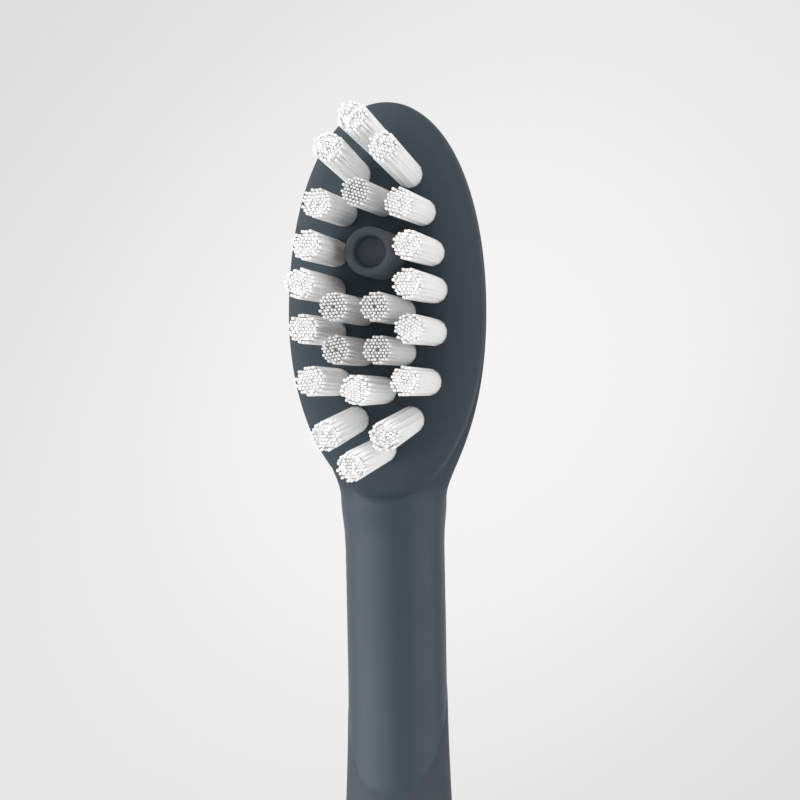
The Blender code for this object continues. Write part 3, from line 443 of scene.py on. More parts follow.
def housing_radius(height):
    if height < GRIP_HEIGHT:
        return BASE_RADIUS + (GRIP_RADIUS - BASE_RADIUS) * ease(height / GRIP_HEIGHT)
    if height < shoulder_height:
        rise = (height - GRIP_HEIGHT) / (shoulder_height - GRIP_HEIGHT)
        return GRIP_RADIUS + (SHOULDER_RADIUS - GRIP_RADIUS) * ease(rise)
    rise = (height - shoulder_height) / SWEEP_LENGTH
    return SHOULDER_RADIUS + (NOSE_RADIUS - SHOULDER_RADIUS) * ease(rise)


def stadium(half_width, half_height, front, back, height):
    """A prism along Y, from front to back, with a stadium outline."""
    shape = bmesh.new()
    bmesh.ops.create_circle(
        shape, cap_ends=True, segments=ROUND // 2, radius=half_width,
        matrix=Matrix.Translation((0, back, height)) @ TO_FRONT,
    )
    for corner in shape.verts:
        side = corner.co.z - height
        if abs(side) > MERGE:
            corner.co.z += math.copysign(half_height - half_width, side)
    grown = bmesh.ops.extrude_face_region(shape, geom=shape.faces[:])
    moved = [part for part in grown["geom"] if isinstance(part, bmesh.types.BMVert)]
    bmesh.ops.translate(shape, vec=(0, front - back, 0), verts=moved)
    bmesh.ops.recalc_face_normals(shape, faces=shape.faces)
    return shape


def carved(shape, *tools):
    """A bmesh with other closed bmeshes cut away from it."""
    blank, *cutters = [put_in("carving", to_mesh("carving", part)) for part in (shape, *tools)]
    for cutter in cutters:
        cut = blank.modifiers.new("cut", "BOOLEAN")
        cut.operation = "DIFFERENCE"
        cut.object = cutter
    result = bmesh.new()
    result.from_mesh(blank.evaluated_get(bpy.context.evaluated_depsgraph_get()).to_mesh())
    for item in (blank, *cutters):
        bpy.data.objects.remove(item)
    return result


housing_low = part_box("handle_housing")[0].z
nose_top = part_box("handle_housing")[1].z
lip_low = nose_top - LIP_THICKNESS
heights = np.concatenate([
    np.linspace(housing_low, shoulder_height, GRIP_RINGS),
    np.linspace(shoulder_height, nose_start, SWEEP_RINGS)[1:],
])
outside = [(float(housing_radius(height)), float(height)) for height in heights]
inside = [(radius - HOUSING_WALL, height) for radius, height in outside]
housing = spun([
    (LIP_RADIUS, nose_top), (NOSE_RADIUS, nose_top), *reversed(outside), *inside,
    (NOSE_RADIUS - HOUSING_WALL, lip_low), (LIP_RADIUS, lip_low),
], steps=ROUND * 2)
bmesh.ops.recalc_face_normals(housing, faces=housing.faces)
in_front = -GRIP_RADIUS * 1.1
button_low, button_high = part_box("power_button")
button_height = (button_low.z + button_high.z) / 2
opening = stadium(
    BUTTON_HALF_WIDTH + BUTTON_GAP, BUTTON_HALF_HEIGHT + BUTTON_GAP, in_front, button_high.y, button_height,
)
light_low, light_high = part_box("light_pin")
light_radius = (light_high.x - light_low.x) / 2
light_height = (light_low.z + light_high.z) / 2
window = stadium(light_radius + SEAT_GAP, light_radius + SEAT_GAP, in_front, light_high.y, light_height)
housing = carved(housing, opening, window)
slate_plastic = moulded("slate_satin_moulding", SLATE, 0.48)
to_piece("handle_shell", housing, "handle", "slate_plastic", slate_plastic, "handle_housing")


# Power button. A satin cap with a finger dish, one moulding with the flange that holds it in.
# It stands slightly proud of the housing and presses the switch behind it.

BUTTON_EDGE = 0.0004
DISH_RINGS = 3
DISH_STEP = 0.0008
DISH_DEPTH = 0.00006
BUTTON_SLATE = (0.060, 0.082, 0.100)
button = stadium(BUTTON_HALF_WIDTH, BUTTON_HALF_HEIGHT, button_low.y, button_high.y, button_height)
front = min(button.faces, key=lambda face: face.calc_center_median().y)
bmesh.ops.bevel(
    button, geom=front.edges[:], offset=BUTTON_EDGE, segments=5, profile=0.5, affect="EDGES", material=-1,
)
front = min(button.faces, key=lambda face: (round(face.calc_center_median().y, 7), -face.calc_area()))
for _ in range(DISH_RINGS):
    bmesh.ops.inset_region(
        button, faces=[front], thickness=DISH_STEP, depth=-DISH_DEPTH, use_even_offset=True,
    )
bmesh.ops.poke(button, faces=[front])
button_plastic = moulded("button_satin_moulding", BUTTON_SLATE, 0.46)
to_piece("power_button_cap", button, "button", "button_plastic", button_plastic, "power_button")


# Lamp. A chip on the board shines through a pin of frosted acrylic. The pin has a slightly domed end,
# and is pushed into the housing below the button.

PIN_CROWN = 0.6
PIN_DOME = 0.00002
PIN_EDGE = 0.00015
FROST_DEPTH = 0.000003
FROST_DULL = (0.74, 0.77, 0.78)
FROST_PALE = (0.86, 0.88, 0.88)
lens, shader, spot = new_finish("frosted_acrylic", Transmission_Weight=0.35, IOR=1.49)
frost = spot.noise(0.05)
wire(
    shader,
    Base_Color=spot.noise(0.8).blend(FROST_DULL, FROST_PALE),
    Roughness=frost * 0.15 + 0.38,
    Normal=frost.bump(FROST_DEPTH, 0.8),
)
dress(lens, "lamp_chip")
pin_end = -light_low.y
pin = spun([
    (0, pin_end), (light_radius * PIN_CROWN, pin_end - PIN_DOME), (light_radius, pin_end - PIN_EDGE),
    (light_radius, -light_high.y), (0, -light_high.y),
], steps=ROUND // 2)
bmesh.ops.transform(pin, matrix=Matrix.Translation((0, 0, light_height)) @ TO_FRONT, verts=pin.verts)
to_piece("light_pin_frosted", pin, "handle", "frosted_lens", lens, "light_pin")


# Nose. A paler slate ring, moulded and pressed on, covers the top of the nose. Below it a boot of black
# rubber, with a waist that lets it flex, seals the shaft under the housing's lip.

TRIM_FULLNESS = 0.3
TRIM_ROUND = 0.00012
BOOT_ROUND = 0.00015
BOOT_GAP = 0.00005
PALE_SLATE = (0.105, 0.135, 0.155)
pale_plastic = moulded("pale_slate_moulding", PALE_SLATE, 0.38)
trim_low, trim_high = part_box("nose_trim_ring")
trim_edge = (trim_high.z - trim_low.z) / 3
trim_corner = trim_edge * TRIM_FULLNESS
trim = spun([
    (LIP_RADIUS, trim_high.z), (NOSE_RADIUS - trim_edge, trim_high.z),
    (NOSE_RADIUS - trim_corner, trim_high.z - trim_corner), (NOSE_RADIUS, trim_high.z - trim_edge),
    (NOSE_RADIUS, trim_low.z), (LIP_RADIUS, trim_low.z),
])
round_edges(trim, TRIM_ROUND, 2)
to_piece("nose_trim", trim, "handle", "light_slate_plastic", pale_plastic, "nose_trim_ring")

boot_low, boot_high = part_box("shaft_seal")
boot_bore = SHAFT_RADIUS + BOOT_GAP
boot_waist = (boot_high.x + boot_bore) / 2
third = (boot_high.z - boot_low.z) / 3
boot = spun([
    (boot_bore, boot_high.z), (boot_high.x, boot_high.z), (boot_high.x, boot_high.z - third),
    (boot_waist, boot_high.z - 1.5 * third), (boot_waist, boot_low.z), (boot_bore, boot_low.z),
])
round_edges(boot, BOOT_ROUND, 2)
to_piece("shaft_boot", boot, "handle", "black_rubber", black_rubber, "shaft_seal")


# Base cap. A paler slate moulding that plugs the handle from below, flat underneath where it stands.
# Its groove holds the O-ring, and its cup holds the charging coil.

CAP_FLOOR = 0.0018
CAP_WALL = 0.0016
CAP_EDGE = 0.0020
CAP_GAP = 0.0003
CAP_ROUND = 0.0001
RIM_STEPS = 8
O_RING_SECTION = 0.00045
cap_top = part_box("base_cap")[1].z
o_ring_low, o_ring_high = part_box("cap_o_ring")
cap_radius = BASE_RADIUS - HOUSING_WALL - SEAT_GAP
groove = (o_ring_low.z + o_ring_high.z) / 2
groove_half = O_RING_SECTION + SEAT_GAP
groove_floor = cap_radius - 2 * O_RING_SECTION
flange_top = housing_low - CAP_GAP
rim = []
for step in range(RIM_STEPS + 1):
    turn = math.pi / 2 * step / RIM_STEPS
    rim.append((BASE_RADIUS - CAP_EDGE * (1 - math.cos(turn)), CAP_EDGE * (1 - math.sin(turn))))
cap = spun([
    (0, CAP_FLOOR), (cap_radius - CAP_WALL, CAP_FLOOR), (cap_radius - CAP_WALL, cap_top),
    (cap_radius, cap_top), (cap_radius, groove + groove_half), (groove_floor, groove + groove_half),
    (groove_floor, groove - groove_half), (cap_radius, groove - groove_half), (cap_radius, flange_top),
    (BASE_RADIUS, flange_top), *rim, (0, 0),
])
round_edges(cap, CAP_ROUND, 2)
to_piece("base_cap_moulding", cap, "handle", "light_slate_plastic", pale_plastic, "base_cap")


# Brush head shell. One moulding of slate plastic: a round neck that flares to its base, and a flat oval
# plate with rounded edges. It is drilled with blind holes for the tufts. The two rows at each end slant
# outwards.

AROUND = 240
PLATE_UPPER = 0.01217
PLATE_LOWER = 0.01081
PLATE_DEPTH = 0.0030
PLATE_EDGE = 0.0012
PLATE_BACK_EDGE = 0.0009
HEAD_DEPTH = 0.0050
BACK_FULLNESS = 0.0023
PLATE_LAP = 0.00006
OVAL_POWER = 2.1
BLEND_POWER = 4
NECK_RADIUS = 0.00292
NECK_BASE_RADIUS = 0.00548
NECK_FORWARD = 0.0024
FLARE_START = 0.0105
LEAN_END = 0.0290
SHOULDER_RISE = 0.00018
SHOULDER_RUN = 0.0026
CREASE_FILLET = 0.00035
SEAM_FILLET = 0.00015
SPIGOT_HEIGHT = 0.0025
SPIGOT_RADIUS = 0.0049
CHAMBER_RADIUS = 0.0044
CHAMBER_HEIGHT = 0.0070
SOCKET_BORE = 0.00255
SOCKET_DEPTH = 0.0250
SLEEVE_FRONT = 0.1997
SLEEVE_SLOPE = 1.95
SLEEVE_STEP = 0.00003
SLEEVE_STEP_RUN = 0.00008
NECK_RINGS = 60
CREASE_RINGS = 56
LOWER_RINGS = 34
UPPER_RINGS = 48
SEARCH_STEPS = 44
HOLE_SIDES = 32
HOLE_DEPTH = 0.0024
HOLE_GAP = 0.00002
CUP_STEM_RADIUS = 0.0009
NECK_ROUGHNESS = 0.44
SLEEVE_ROUGHNESS = 0.62
PLATE_ROUGHNESS = 0.78
FADE_BELOW, FADE_ABOVE = 0.4, 1.2
SLEEVE_FADE = 0.12
PLATE_SLATE = (0.0288, 0.0440, 0.0570)
SLEEVE_SLATE = (0.0310, 0.0440, 0.0558)
LEAST = 1e-6
LEAST_FADE = 1e-9

shell_low, shell_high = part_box("brush_head_shell")
head_top = shell_high.z
brush_base = shell_low.z
face_y = shell_low.y
plate_half = shell_high.x
plate_widest = head_top - PLATE_UPPER
plate_length = PLATE_UPPER + PLATE_LOWER
plate_bottom = head_top - plate_length


def past_plate(x, y, z):
    """Distance outside the bristle plate, a rounded oval slab. It is negative inside."""
    above = z > plate_widest
    reach = np.where(above, PLATE_UPPER, PLATE_LOWER)
    power = np.where(above, OVAL_POWER, 2.0)
    across = np.abs(x) / plate_half
    along = np.abs(z - plate_widest) / reach
    size = np.maximum((across ** power + along ** power) ** (1 / power), LEAST)
    slope = np.hypot(across ** (power - 1) / plate_half, along ** (power - 1) / reach) * size ** (1 - power)
    middle = face_y + PLATE_DEPTH / 2
    edge = np.where(y < middle, PLATE_EDGE, PLATE_BACK_EDGE)
    beside = (size - 1) / np.maximum(slope, LEAST) + edge
    ahead = np.abs(y - middle) - PLATE_DEPTH / 2 + edge
    corner = np.hypot(np.maximum(beside, 0), np.maximum(ahead, 0))
    return corner - edge + np.minimum(np.maximum(beside, ahead), 0)


def neck_axis(z):
    """Middle of the neck: it leans forward towards the head."""
    fall = np.clip(plate_bottom - z, 0, LEAN_END)
    return -NECK_FORWARD * (1 - fall / LEAN_END) ** 2


def past_neck(x, y, z):
    """Distance outside the neck and the rounded back that it runs out into."""
    start = plate_bottom - FLARE_START
    slim = NECK_RADIUS + (NECK_BASE_RADIUS - NECK_RADIUS) * ease((start - z) / (start - brush_base))
    slim = slim + SHOULDER_RISE * ease((z - plate_bottom) / SHOULDER_RUN + 1)
    neck = NECK_RADIUS + SHOULDER_RISE
    widest = plate_half - PLATE_LAP
    oval = (widest ** BLEND_POWER - neck ** BLEND_POWER) ** (1 / BLEND_POWER)
    low_share = np.clip((plate_widest - z) / PLATE_LOWER, 0, 1)
    low_half = oval * np.sqrt(1 - low_share ** 2)
    low_half = (low_half ** BLEND_POWER + neck ** BLEND_POWER) ** (1 / BLEND_POWER)
    high_share = np.clip((z - plate_widest) / PLATE_UPPER, 0, 1)
    fade = np.maximum(1 - high_share ** OVAL_POWER, LEAST_FADE) ** (1 / OVAL_POWER)
    rise = ease((z - plate_bottom) / PLATE_LOWER)
    on_head = z > plate_bottom
    half = np.where(on_head, np.where(z > plate_widest, widest * fade, low_half), slim)
    back_middle = face_y + HEAD_DEPTH - BACK_FULLNESS
    middle = np.where(on_head, -NECK_FORWARD + (back_middle + NECK_FORWARD) * rise, neck_axis(z))
    front = np.where(on_head, (neck + (PLATE_EDGE - neck) * rise) * fade, slim)
    back = np.where(on_head, (neck + (BACK_FULLNESS - neck) * rise) * fade, slim)
    depth = np.where(y < middle, front, back)
    size = np.maximum(np.hypot(x / half, (y - middle) / depth), LEAST)
    slope = np.hypot(x / half ** 2, (y - middle) / depth ** 2) / size
    return (size - 1) / np.maximum(slope, LEAST)


def past_shell(x, y, z):
    """Distance outside the plate and neck together, with a fillet in the crease between them."""
    plate, neck = past_plate(x, y, z), past_neck(x, y, z)
    fillet = CREASE_FILLET + (SEAM_FILLET - CREASE_FILLET) * ease((z - plate_bottom) / PLATE_LOWER * 2)
    overlap = np.maximum(fillet - np.abs(plate - neck), 0) / fillet
    return np.minimum(plate, neck) - overlap ** 2 * fillet / 4


def shell_axis(z):
    """A line inside both bodies, from which every section can be seen whole."""
    plate_middle = face_y + PLATE_EDGE + (PLATE_DEPTH - PLATE_EDGE - PLATE_BACK_EDGE) / 2
    rise = ease((z - plate_bottom) / SHOULDER_RUN / 3 + 1)
    return neck_axis(z) + (plate_middle - neck_axis(z)) * rise


neck_top = plate_bottom - CREASE_FILLET * 3
crease_top = plate_bottom + CREASE_FILLET * 4
outer_heights = np.concatenate([
    np.linspace(brush_base + SPIGOT_HEIGHT, neck_top, NECK_RINGS)[:-1],
    np.linspace(neck_top, crease_top, CREASE_RINGS)[:-1],
    np.linspace(crease_top, plate_widest, LOWER_RINGS)[:-1],
    plate_widest + PLATE_UPPER * np.sin(np.linspace(0, math.pi / 2, UPPER_RINGS)),
])
chamber_top = brush_base + CHAMBER_HEIGHT
shell = spun([
    (0, brush_base + SOCKET_DEPTH), (SOCKET_BORE, brush_base + SOCKET_DEPTH), (SOCKET_BORE, chamber_top),
    (CHAMBER_RADIUS, chamber_top), (CHAMBER_RADIUS, brush_base), (SPIGOT_RADIUS, brush_base),
    (SPIGOT_RADIUS, brush_base + SPIGOT_HEIGHT),
    *[(NECK_BASE_RADIUS, float(height)) for height in outer_heights[:-1]],
    (NECK_BASE_RADIUS, float(outer_heights[-1])), (0, head_top),
], steps=AROUND)
outside_spigot = (SPIGOT_RADIUS + NECK_BASE_RADIUS) / 2
outer = [corner for corner in shell.verts if corner.co.xy.length > outside_spigot]
places = np.array([corner.co for corner in outer], float)
turn = np.arctan2(places[:, 0], -places[:, 1])
level = places[:, 2]
centre = shell_axis(level)
near, far = np.zeros(len(outer)), np.full(len(outer), plate_half * 2)
for _ in range(SEARCH_STEPS):
    middle = (near + far) / 2
    within = past_shell(middle * np.sin(turn), centre - middle * np.cos(turn), level) < 0
    near, far = np.where(within, middle, near), np.where(within, far, middle)
for corner, x, y in zip(outer, near * np.sin(turn), centre - near * np.cos(turn)):
    corner.co.x, corner.co.y = x, y
neck_front = neck_axis(SLEEVE_FRONT) - NECK_RADIUS
sleeve_edge = SLEEVE_FRONT - SLEEVE_SLOPE * neck_front
sleeve_normal = Vector((0, -SLEEVE_SLOPE, 1))
for depth in (0, SLEEVE_STEP_RUN):
    bmesh.ops.bisect_plane(
        shell, geom=shell.verts[:] + shell.edges[:] + shell.faces[:], dist=MERGE,
        plane_co=(0, neck_front, SLEEVE_FRONT - depth), plane_no=sleeve_normal,
    )
for corner in shell.verts:
    outward = Vector((corner.co.x, corner.co.y - neck_axis(corner.co.z), 0))
    below = sleeve_edge - SLEEVE_STEP_RUN - (corner.co.z - corner.co.y * SLEEVE_SLOPE)
    bore = CHAMBER_RADIUS if corner.co.z < chamber_top + MERGE else SOCKET_BORE
    outside_neck = corner.co.z > brush_base + SPIGOT_HEIGHT + MERGE and outward.length > bore + MERGE * 10
    if outside_neck and below > -MERGE:
        corner.co += outward.normalized() * SLEEVE_STEP
pole = [corner for corner in shell.verts if corner.co.z > head_top - MERGE]
for corner in pole:
    corner.co.x, corner.co.y = 0, float(shell_axis(head_top))
bmesh.ops.remove_doubles(shell, verts=shell.verts, dist=MERGE)
bmesh.ops.recalc_face_normals(shell, faces=shell.faces)

# The drilling pattern, which the tufts follow, in rows from the tip down: distance below the tip as a
# share of the plate's length, distance from its middle as a share of its half-width, the bristles'
# length as a share of TUFT_LENGTH, and their lean in degrees
TUFT_ROWS = (
    (0.119, 0.000, 1.066, 4.5),
    (0.186, 0.264, 0.974, 4.9),
    (0.257, 0.000, 0.971, 0.0),
    (0.281, 0.400, 0.886, 0.0),
    (0.382, 0.489, 0.924, 0.0),
    (0.475, 0.518, 1.020, 0.0),
    (0.530, 0.198, 1.017, 0.0),
    (0.581, 0.513, 0.941, 0.0),
    (0.631, 0.202, 0.930, 0.0),
    (0.705, 0.457, 0.900, 0.0),
    (0.726, 0.000, 0.956, 0.0),
    (0.800, 0.283, 0.983, -4.8),
    (0.873, 0.000, 1.096, -4.1),
)
TUFT_RADIUS = 0.00080
TUFT_LENGTH = 0.0100


def drill(holes, place, radius, depth):
    """Add a cylinder that cuts a hole to a depth below the face."""
    bmesh.ops.create_cone(
        holes, cap_ends=True, segments=HOLE_SIDES, radius1=radius + HOLE_GAP, radius2=radius + HOLE_GAP,
        depth=depth * 2, matrix=place,
    )


tufts = []
holes = bmesh.new()
for down, across, share, lean in TUFT_ROWS:
    for side in (-1, 1) if across else (1,):
        root = Vector((side * across * plate_half, face_y, head_top - down * plate_length))
        tilt = Matrix.Rotation(math.pi / 2 - math.radians(lean), 4, "X")
        tufts.append((Matrix.Translation(root) @ tilt, share * TUFT_LENGTH, lean != 0))
        drill(holes, tufts[-1][0], TUFT_RADIUS, HOLE_DEPTH)
cup_low, cup_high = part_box("polishing_cup")
cup_place = Matrix.Translation((0, face_y, (cup_low.z + cup_high.z) / 2)) @ TO_FRONT
drill(holes, cup_place, CUP_STEM_RADIUS, cup_high.y - face_y)
shell = carved(shell, holes)

head_plastic, shader, spot = new_finish("slate_head_moulding")
height = spot.axis("Z")
on_plate = height.between(plate_bottom * 1000 - FADE_BELOW, plate_bottom * 1000 + FADE_ABOVE)
slanted = height - spot.axis("Y") * SLEEVE_SLOPE
above_sleeve = slanted.between(sleeve_edge * 1000 - SLEEVE_FADE, sleeve_edge * 1000)
tone = above_sleeve.blend(SLEEVE_SLATE, on_plate.blend(SLATE, PLATE_SLATE))
pigment = spot.noise(PIGMENT_CLOUD) * (2 * PIGMENT_SPREAD) + (1 - PIGMENT_SPREAD)
on_neck = SLEEVE_ROUGHNESS - (SLEEVE_ROUGHNESS - NECK_ROUGHNESS) * above_sleeve
spark = spot.noise(SPARK_GRAIN, 3.0)
wire(
    shader,
    Base_Color=tone.vector("SCALE", {"Scale": pigment}),
    Roughness=satin(spot, spark) + on_plate * (PLATE_ROUGHNESS - NECK_ROUGHNESS) + on_neck,
    Normal=spark.bump(SPARK_DEPTH),
)
to_piece("brush_head_moulding", shell, "brush_head", "slate_plastic", head_plastic, "brush_head_shell")


# Shaft socket and colour ring. The socket is a keyed acetal insert, pressed into the neck with a spring
# clip above its flange. The ring is a paler slate moulding snapped round the neck's base.

RING_ROUND = 0.0002
ACETAL = (0.70, 0.70, 0.68)
dress(moulded("white_acetal", ACETAL, 0.40, spread=0.02), "shaft_socket")
ring_low, ring_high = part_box("colour_ring")
ring_bore = SPIGOT_RADIUS + SEAT_GAP
ring = spun([
    (ring_bore, ring_high.z), (ring_high.x, ring_high.z),
    (ring_high.x, ring_low.z), (ring_bore, ring_low.z),
])
round_edges(ring, RING_ROUND)
to_piece("neck_colour_ring", ring, "brush_head", "light_slate_plastic", pale_plastic, "colour_ring")


# Tufts. Each is some fifty drawn nylon filaments, folded in half and stapled into a blind hole, then
# trimmed and end-rounded. They flare slightly, and no two filaments are cut to quite the same length.

WHITE_FILAMENT_RADIUS, GREY_FILAMENT_RADIUS = 0.000090, 0.000084
ROW_PITCH = 0.000196
BUNDLE_RADIUS = 0.00072
DOME_HEIGHT = 0.00005
DOME_STEPS = 4
FILAMENT_SIDES = 8
ROOT_DEPTH = 0.0006
STRAY = 0.0009
LEAST_SPLAY = 0.2
WHITE_SPLAY, GREY_SPLAY = 0.010, 0.004
WHITE_UNEVEN, GREY_UNEVEN, LEANING_UNEVEN = 0.00007, 0.00006, 0.00014
CORE_RADIUS = 0.00078
CORE_TIP_RADIUS = 0.00062
CORE_TAPER = 0.0030
CORE_SIDES = 24
WHITE_CORE_DROP, GREY_CORE_DROP, LEANING_CORE_DROP = 0.00020, 0.00048, 0.00024
GREY_TUFTS = (4, 11, 12, 15, 16)
OPEN_TUFTS = (11, 12, 15, 16)
TIP_SHADE_RUN = 10
# The tip colours are painted shade: darker than the roots, to hold down the lamps' light on the tips.
WHITE_ROOT, WHITE_TIP_SHADED = (0.96, 0.96, 0.96), (0.92, 0.92, 0.92)
GREY_ROOT, GREY_TIP_SHADED = (0.77, 0.77, 0.77), (0.72, 0.72, 0.72)


def nylon(name, colour, shaded_tip_colour):
    """Drawn nylon with painted shade: its colour darkens towards the tips, to hold down the light on them.
    No two filaments are quite alike.
    """
    made, shader, spot = new_finish(name, IOR=1.50)
    face = -face_y * 1000
    # Painted shade: the base colour darkens along the filaments, from the face out to the tips.
    along = (0 - spot.axis("Y")).between(face, face + TIP_SHADE_RUN)
    each = spot.noise(0.16, 0.0, (1, 0.02, 1)).between(0.3, 0.7)
    wire(
        shader,
        Base_Color=(each * 0.35 + along * 0.65).blend(colour, shaded_tip_colour),
        Roughness=each * 0.12 + 0.60,
        Normal=spot.noise(0.04, 1.0, (1, 0.1, 1)).bump(0.000001),
    )
    return made


def rooted(name, profile, sides):
    """The mesh of a spun filament or core, closed at its root."""
    shape = spun(profile, steps=sides)
    bmesh.ops.holes_fill(shape, edges=[edge for edge in shape.edges if edge.is_boundary])
    bmesh.ops.recalc_face_normals(shape, faces=shape.faces)
    return to_mesh(name, shape)


def packed_places(angle):
    """Places of close-packed filaments in a round bundle, in rows turned by an angle."""
    rows = round(BUNDLE_RADIUS / ROW_PITCH) + 1
    turned = Matrix.Rotation(angle, 3, "Z")
    found = []
    for row in range(-rows, rows + 1):
        for column in range(-rows, rows + 1):
            place = Vector((column - row / 2, row * math.sqrt(0.75), 0)) * ROW_PITCH
            if place.length < BUNDLE_RADIUS:
                found.append(turned @ place)
    return found


dome = []
for step in range(DOME_STEPS):
    rise = math.pi / 2 * step / DOME_STEPS
    dome.append((GREY_FILAMENT_RADIUS * math.cos(rise), TUFT_LENGTH - DOME_HEIGHT * (1 - math.sin(rise))))
filament = rooted(
    "filament", [(GREY_FILAMENT_RADIUS, -ROOT_DEPTH), *dome, (0, TUFT_LENGTH)], FILAMENT_SIDES,
)
core = rooted("tuft_core", [
    (CORE_RADIUS, -ROOT_DEPTH), (CORE_RADIUS, TUFT_LENGTH - CORE_TAPER),
    ((CORE_RADIUS + CORE_TIP_RADIUS) / 2, TUFT_LENGTH - CORE_TAPER / 3), (CORE_TIP_RADIUS, TUFT_LENGTH),
    (ROW_PITCH, TUFT_LENGTH), (0, TUFT_LENGTH - ROW_PITCH),
], CORE_SIDES)

# A closed core fills each tuft where its filaments can't be seen. It ends below their tips. In the tufts
# of OPEN_TUFTS the middle filament is left out, so that the core's dimple shows as a darker spot.
draw = random.Random(22)
white_nylon = nylon("white_nylon", WHITE_ROOT, WHITE_TIP_SHADED)
grey_nylon = nylon("grey_nylon", GREY_ROOT, GREY_TIP_SHADED)
for number, (place, length, leaning) in enumerate(tufts, 1):
    tuft = bmesh.new()
    tuft.from_mesh(core)
    grey = number in GREY_TUFTS
    splay, uneven, drop = WHITE_SPLAY, WHITE_UNEVEN, WHITE_CORE_DROP
    if grey:
        splay, uneven, drop = GREY_SPLAY, GREY_UNEVEN, GREY_CORE_DROP
    if leaning:
        uneven, drop = LEANING_UNEVEN, LEANING_CORE_DROP
    for corner in tuft.verts:
        if corner.co.z > 0:
            corner.co.z += length - TUFT_LENGTH - drop
    for outward in packed_places(draw.uniform(0, math.pi)):
        from_middle = outward.length / BUNDLE_RADIUS
        cut = length + draw.uniform(-uneven, uneven) * (1 + from_middle ** 2)
        spread = draw.uniform(LEAST_SPLAY, 1.0) * splay * from_middle ** 3
        lean = outward.normalized() * spread + Vector((draw.gauss(0, STRAY), draw.gauss(0, STRAY), 0))
        if number in OPEN_TUFTS and outward.length < ROW_PITCH / 2:
            continue
        known = len(tuft.verts)
        tuft.from_mesh(filament)
        tuft.verts.ensure_lookup_table()
        for corner in tuft.verts[known:]:
            if corner.co.z > 0:
                corner.co.z += cut - TUFT_LENGTH
            if not grey:
                corner.co.xy *= WHITE_FILAMENT_RADIUS / GREY_FILAMENT_RADIUS
            corner.co += outward + lean * corner.co.z
    bmesh.ops.transform(tuft, matrix=place, verts=tuft.verts)
    to_piece(
        f"bristles_{number:02d}", tuft, "brush_head", "grey_nylon" if grey else "white_nylon",
        grey_nylon if grey else white_nylon, f"tuft_{number:02d}",
    )
bpy.data.meshes.remove(filament)
bpy.data.meshes.remove(core)


# Polishing cup. A soft round cup of slate elastomer between the upper tufts, moulded on a stem that
# fills its hole in the plate.

CUP_WALL = 0.0005
CUP_HOLLOW = 0.0011
CUP_ROUND = 0.0002
SOFT_SLATE = (0.050, 0.064, 0.078)
SOFT_BLOOM = (0.060, 0.076, 0.092)
elastomer, shader, spot = new_finish("slate_elastomer", Sheen_Weight=0.1, Sheen_Roughness=0.5)
haze = spot.noise(0.7, 3.0)
wire(
    shader,
    Base_Color=haze.blend(SOFT_SLATE, SOFT_BLOOM),
    Roughness=haze * 0.12 + 0.50,
    Normal=spot.noise(0.08).bump(0.0000015),
)
cup_radius = cup_high.x
cup_inside = cup_radius - CUP_WALL
cup_mouth = face_y - cup_low.y
cup_stem = cup_high.y - face_y
cup = spun([
    (0, cup_mouth - CUP_HOLLOW), (cup_inside, cup_mouth - CUP_HOLLOW), (cup_inside, cup_mouth),
    (cup_radius, cup_mouth), (cup_radius, SEAT_GAP), (CUP_STEM_RADIUS, SEAT_GAP),
    (CUP_STEM_RADIUS, -cup_stem), (0, -cup_stem),
])
round_edges(cup, CUP_ROUND, 4)
bmesh.ops.transform(cup, matrix=cup_place, verts=cup.verts)
to_piece("polishing_cup_soft", cup, "brush_head", "slate_elastomer", elastomer, "polishing_cup")


# Studio. A pale paper floor fades into a pale backdrop. Soft lamps stand left, right and overhead, with
# a weak one low at the front left and a dark grey card at the far right. The camera looks at the head
# from slightly to the right of straight on.

FLOOR_RADIUS = 0.70
FLOOR_FADE = 0.20
FLOOR_DULL = (0.605, 0.605, 0.605)
FLOOR_PALE = (0.625, 0.625, 0.625)
GLOW_MIDDLE, GLOW_EDGE = 0.905, 0.77
GLOW_START, GLOW_END = 0.02, 0.19
GLOW_ASIDE = 0.02
GLOW_SLANT = 0.06
SLANT_REACH = 0.016
ROOM_LIGHT = 0.755
CARD_HALF_WIDTH = 0.8
CARD_PLACE = 0.95
CARD_GREY = (0.10, 0.10, 0.10)
LAMP_AIM = Vector((0, 0, 0.16))
AZIMUTH = math.radians(8.65)
DISTANCE = 0.172
ASIDE = 0.00098
LENS = 134.7
AIM_HEIGHT = 0.2227

ahead = Vector((-math.sin(AZIMUTH), math.cos(AZIMUTH), 0))
right = Vector((math.cos(AZIMUTH), math.sin(AZIMUTH), 0))
world = bpy.data.worlds.new("studio")
bpy.context.scene.world = world
world.use_nodes = True
air = world.node_tree.nodes["Background"]
air.inputs["Color"].default_value = (1, 1, 1, 1)
room = Signal(world.node_tree)
gaze = room.add("ShaderNodeTexCoord", output="Generated")
off_centre = gaze.vector("DISTANCE", {1: ahead + right * GLOW_ASIDE}, output="Value")
aside = gaze.vector("DOT_PRODUCT", {1: right}, output="Value")
slant = (aside * gaze.axis("Z")).between(-SLANT_REACH, SLANT_REACH) - 0.5
glow = GLOW_MIDDLE + (GLOW_EDGE - GLOW_MIDDLE) * off_centre.between(GLOW_START, GLOW_END)
glow = glow + slant * GLOW_SLANT
ray = room.add("ShaderNodeLightPath", output="Is Camera Ray")
for kind in ("Is Glossy Ray", "Is Transmission Ray"):
    ray = ray.math("MAXIMUM", ray, room.add("ShaderNodeLightPath", output=kind))
strength = ray * glow + (1 - ray) * ROOM_LIGHT
world.node_tree.links.new(strength.socket, air.inputs["Strength"])

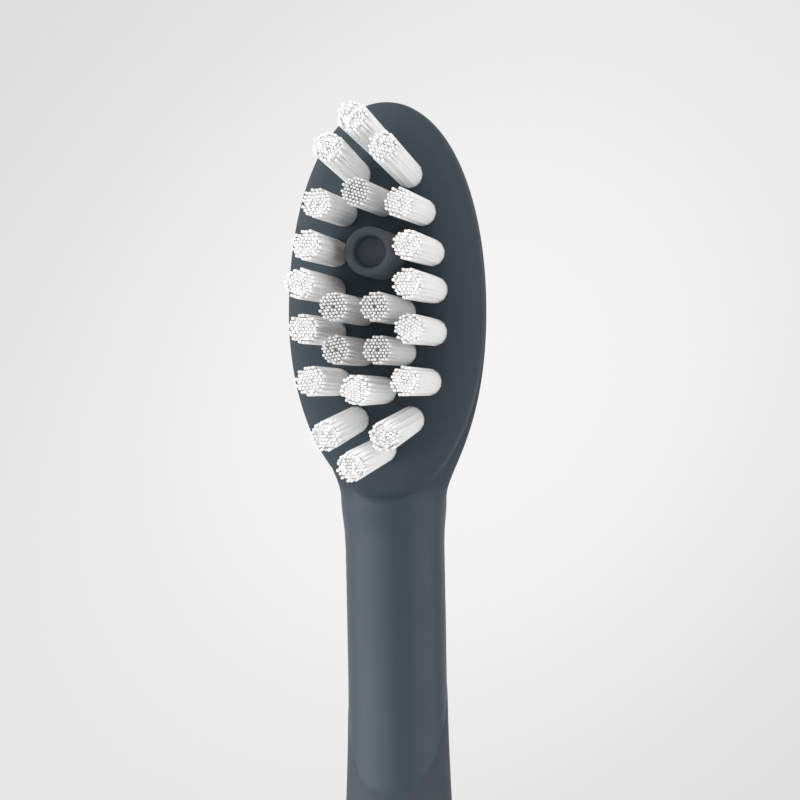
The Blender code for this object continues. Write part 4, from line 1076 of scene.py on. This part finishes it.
floor_shape = bmesh.new()
bmesh.ops.create_circle(floor_shape, cap_ends=True, segments=ROUND, radius=FLOOR_RADIUS)
floor = put_in("floor", to_mesh("floor", floor_shape))
paper, shader, spot = new_finish("floor_paper")
wire(
    shader,
    Base_Color=spot.noise(30.0).blend(FLOOR_DULL, FLOOR_PALE),
    Roughness=spot.noise(3.0) * 0.1 + 0.80,
)
clear = spot.add("ShaderNodeBsdfTransparent")
fade = from_axis(spot).between(FLOOR_FADE * 1000, FLOOR_RADIUS * 1000)
mixed = fade.add("ShaderNodeMixShader", {0: fade, 1: Signal(paper.node_tree, shader.outputs[0]), 2: clear})
wire(paper.node_tree.nodes["Material Output"], Surface=mixed)
floor.data.materials.append(paper)

card_shape = bmesh.new()
bmesh.ops.create_grid(
    card_shape, x_segments=1, y_segments=1, size=CARD_HALF_WIDTH,
    matrix=Matrix.Translation((CARD_PLACE, 0, CARD_HALF_WIDTH)) @ Matrix.Rotation(-math.pi / 2, 4, "Y"),
)
card = put_in("grey_card", to_mesh("grey_card", card_shape))
card.visible_camera = False
card.data.materials.append(moulded("grey_paper", CARD_GREY, 0.9))

for name, place, size, power in (
    ("lamp_left", (-0.76, -0.22, 0.33), (0.70, 1.00), 4.2),
    ("lamp_right", (0.76, -0.14, 0.20), (0.90, 0.90), 3.28),
    ("lamp_top", (-0.10, -0.42, 1.10), (0.80, 0.80), 4.15),
    ("lamp_low", (-0.42, -0.60, 0.05), (0.70, 0.30), 1.3),
):
    lamp = bpy.data.lights.new(name, "AREA")
    lamp.shape = "RECTANGLE"
    lamp.size, lamp.size_y = size
    lamp.energy = power
    stand = put_in(name, lamp)
    stand.location = place
    stand.rotation_euler = (LAMP_AIM - Vector(place)).to_track_quat("-Z", "Y").to_euler()
    stand.visible_camera = False

camera = bpy.data.cameras.new("camera")
camera.lens = LENS
camera.clip_start = 0.01
eye = put_in("camera", camera)
eye.location = Vector((0, face_y, AIM_HEIGHT)) - ahead * DISTANCE + right * ASIDE
eye.rotation_euler = (math.pi / 2, 0, AZIMUTH)
bpy.context.scene.camera = eye
bpy.context.scene.view_settings.view_transform = "Standard"
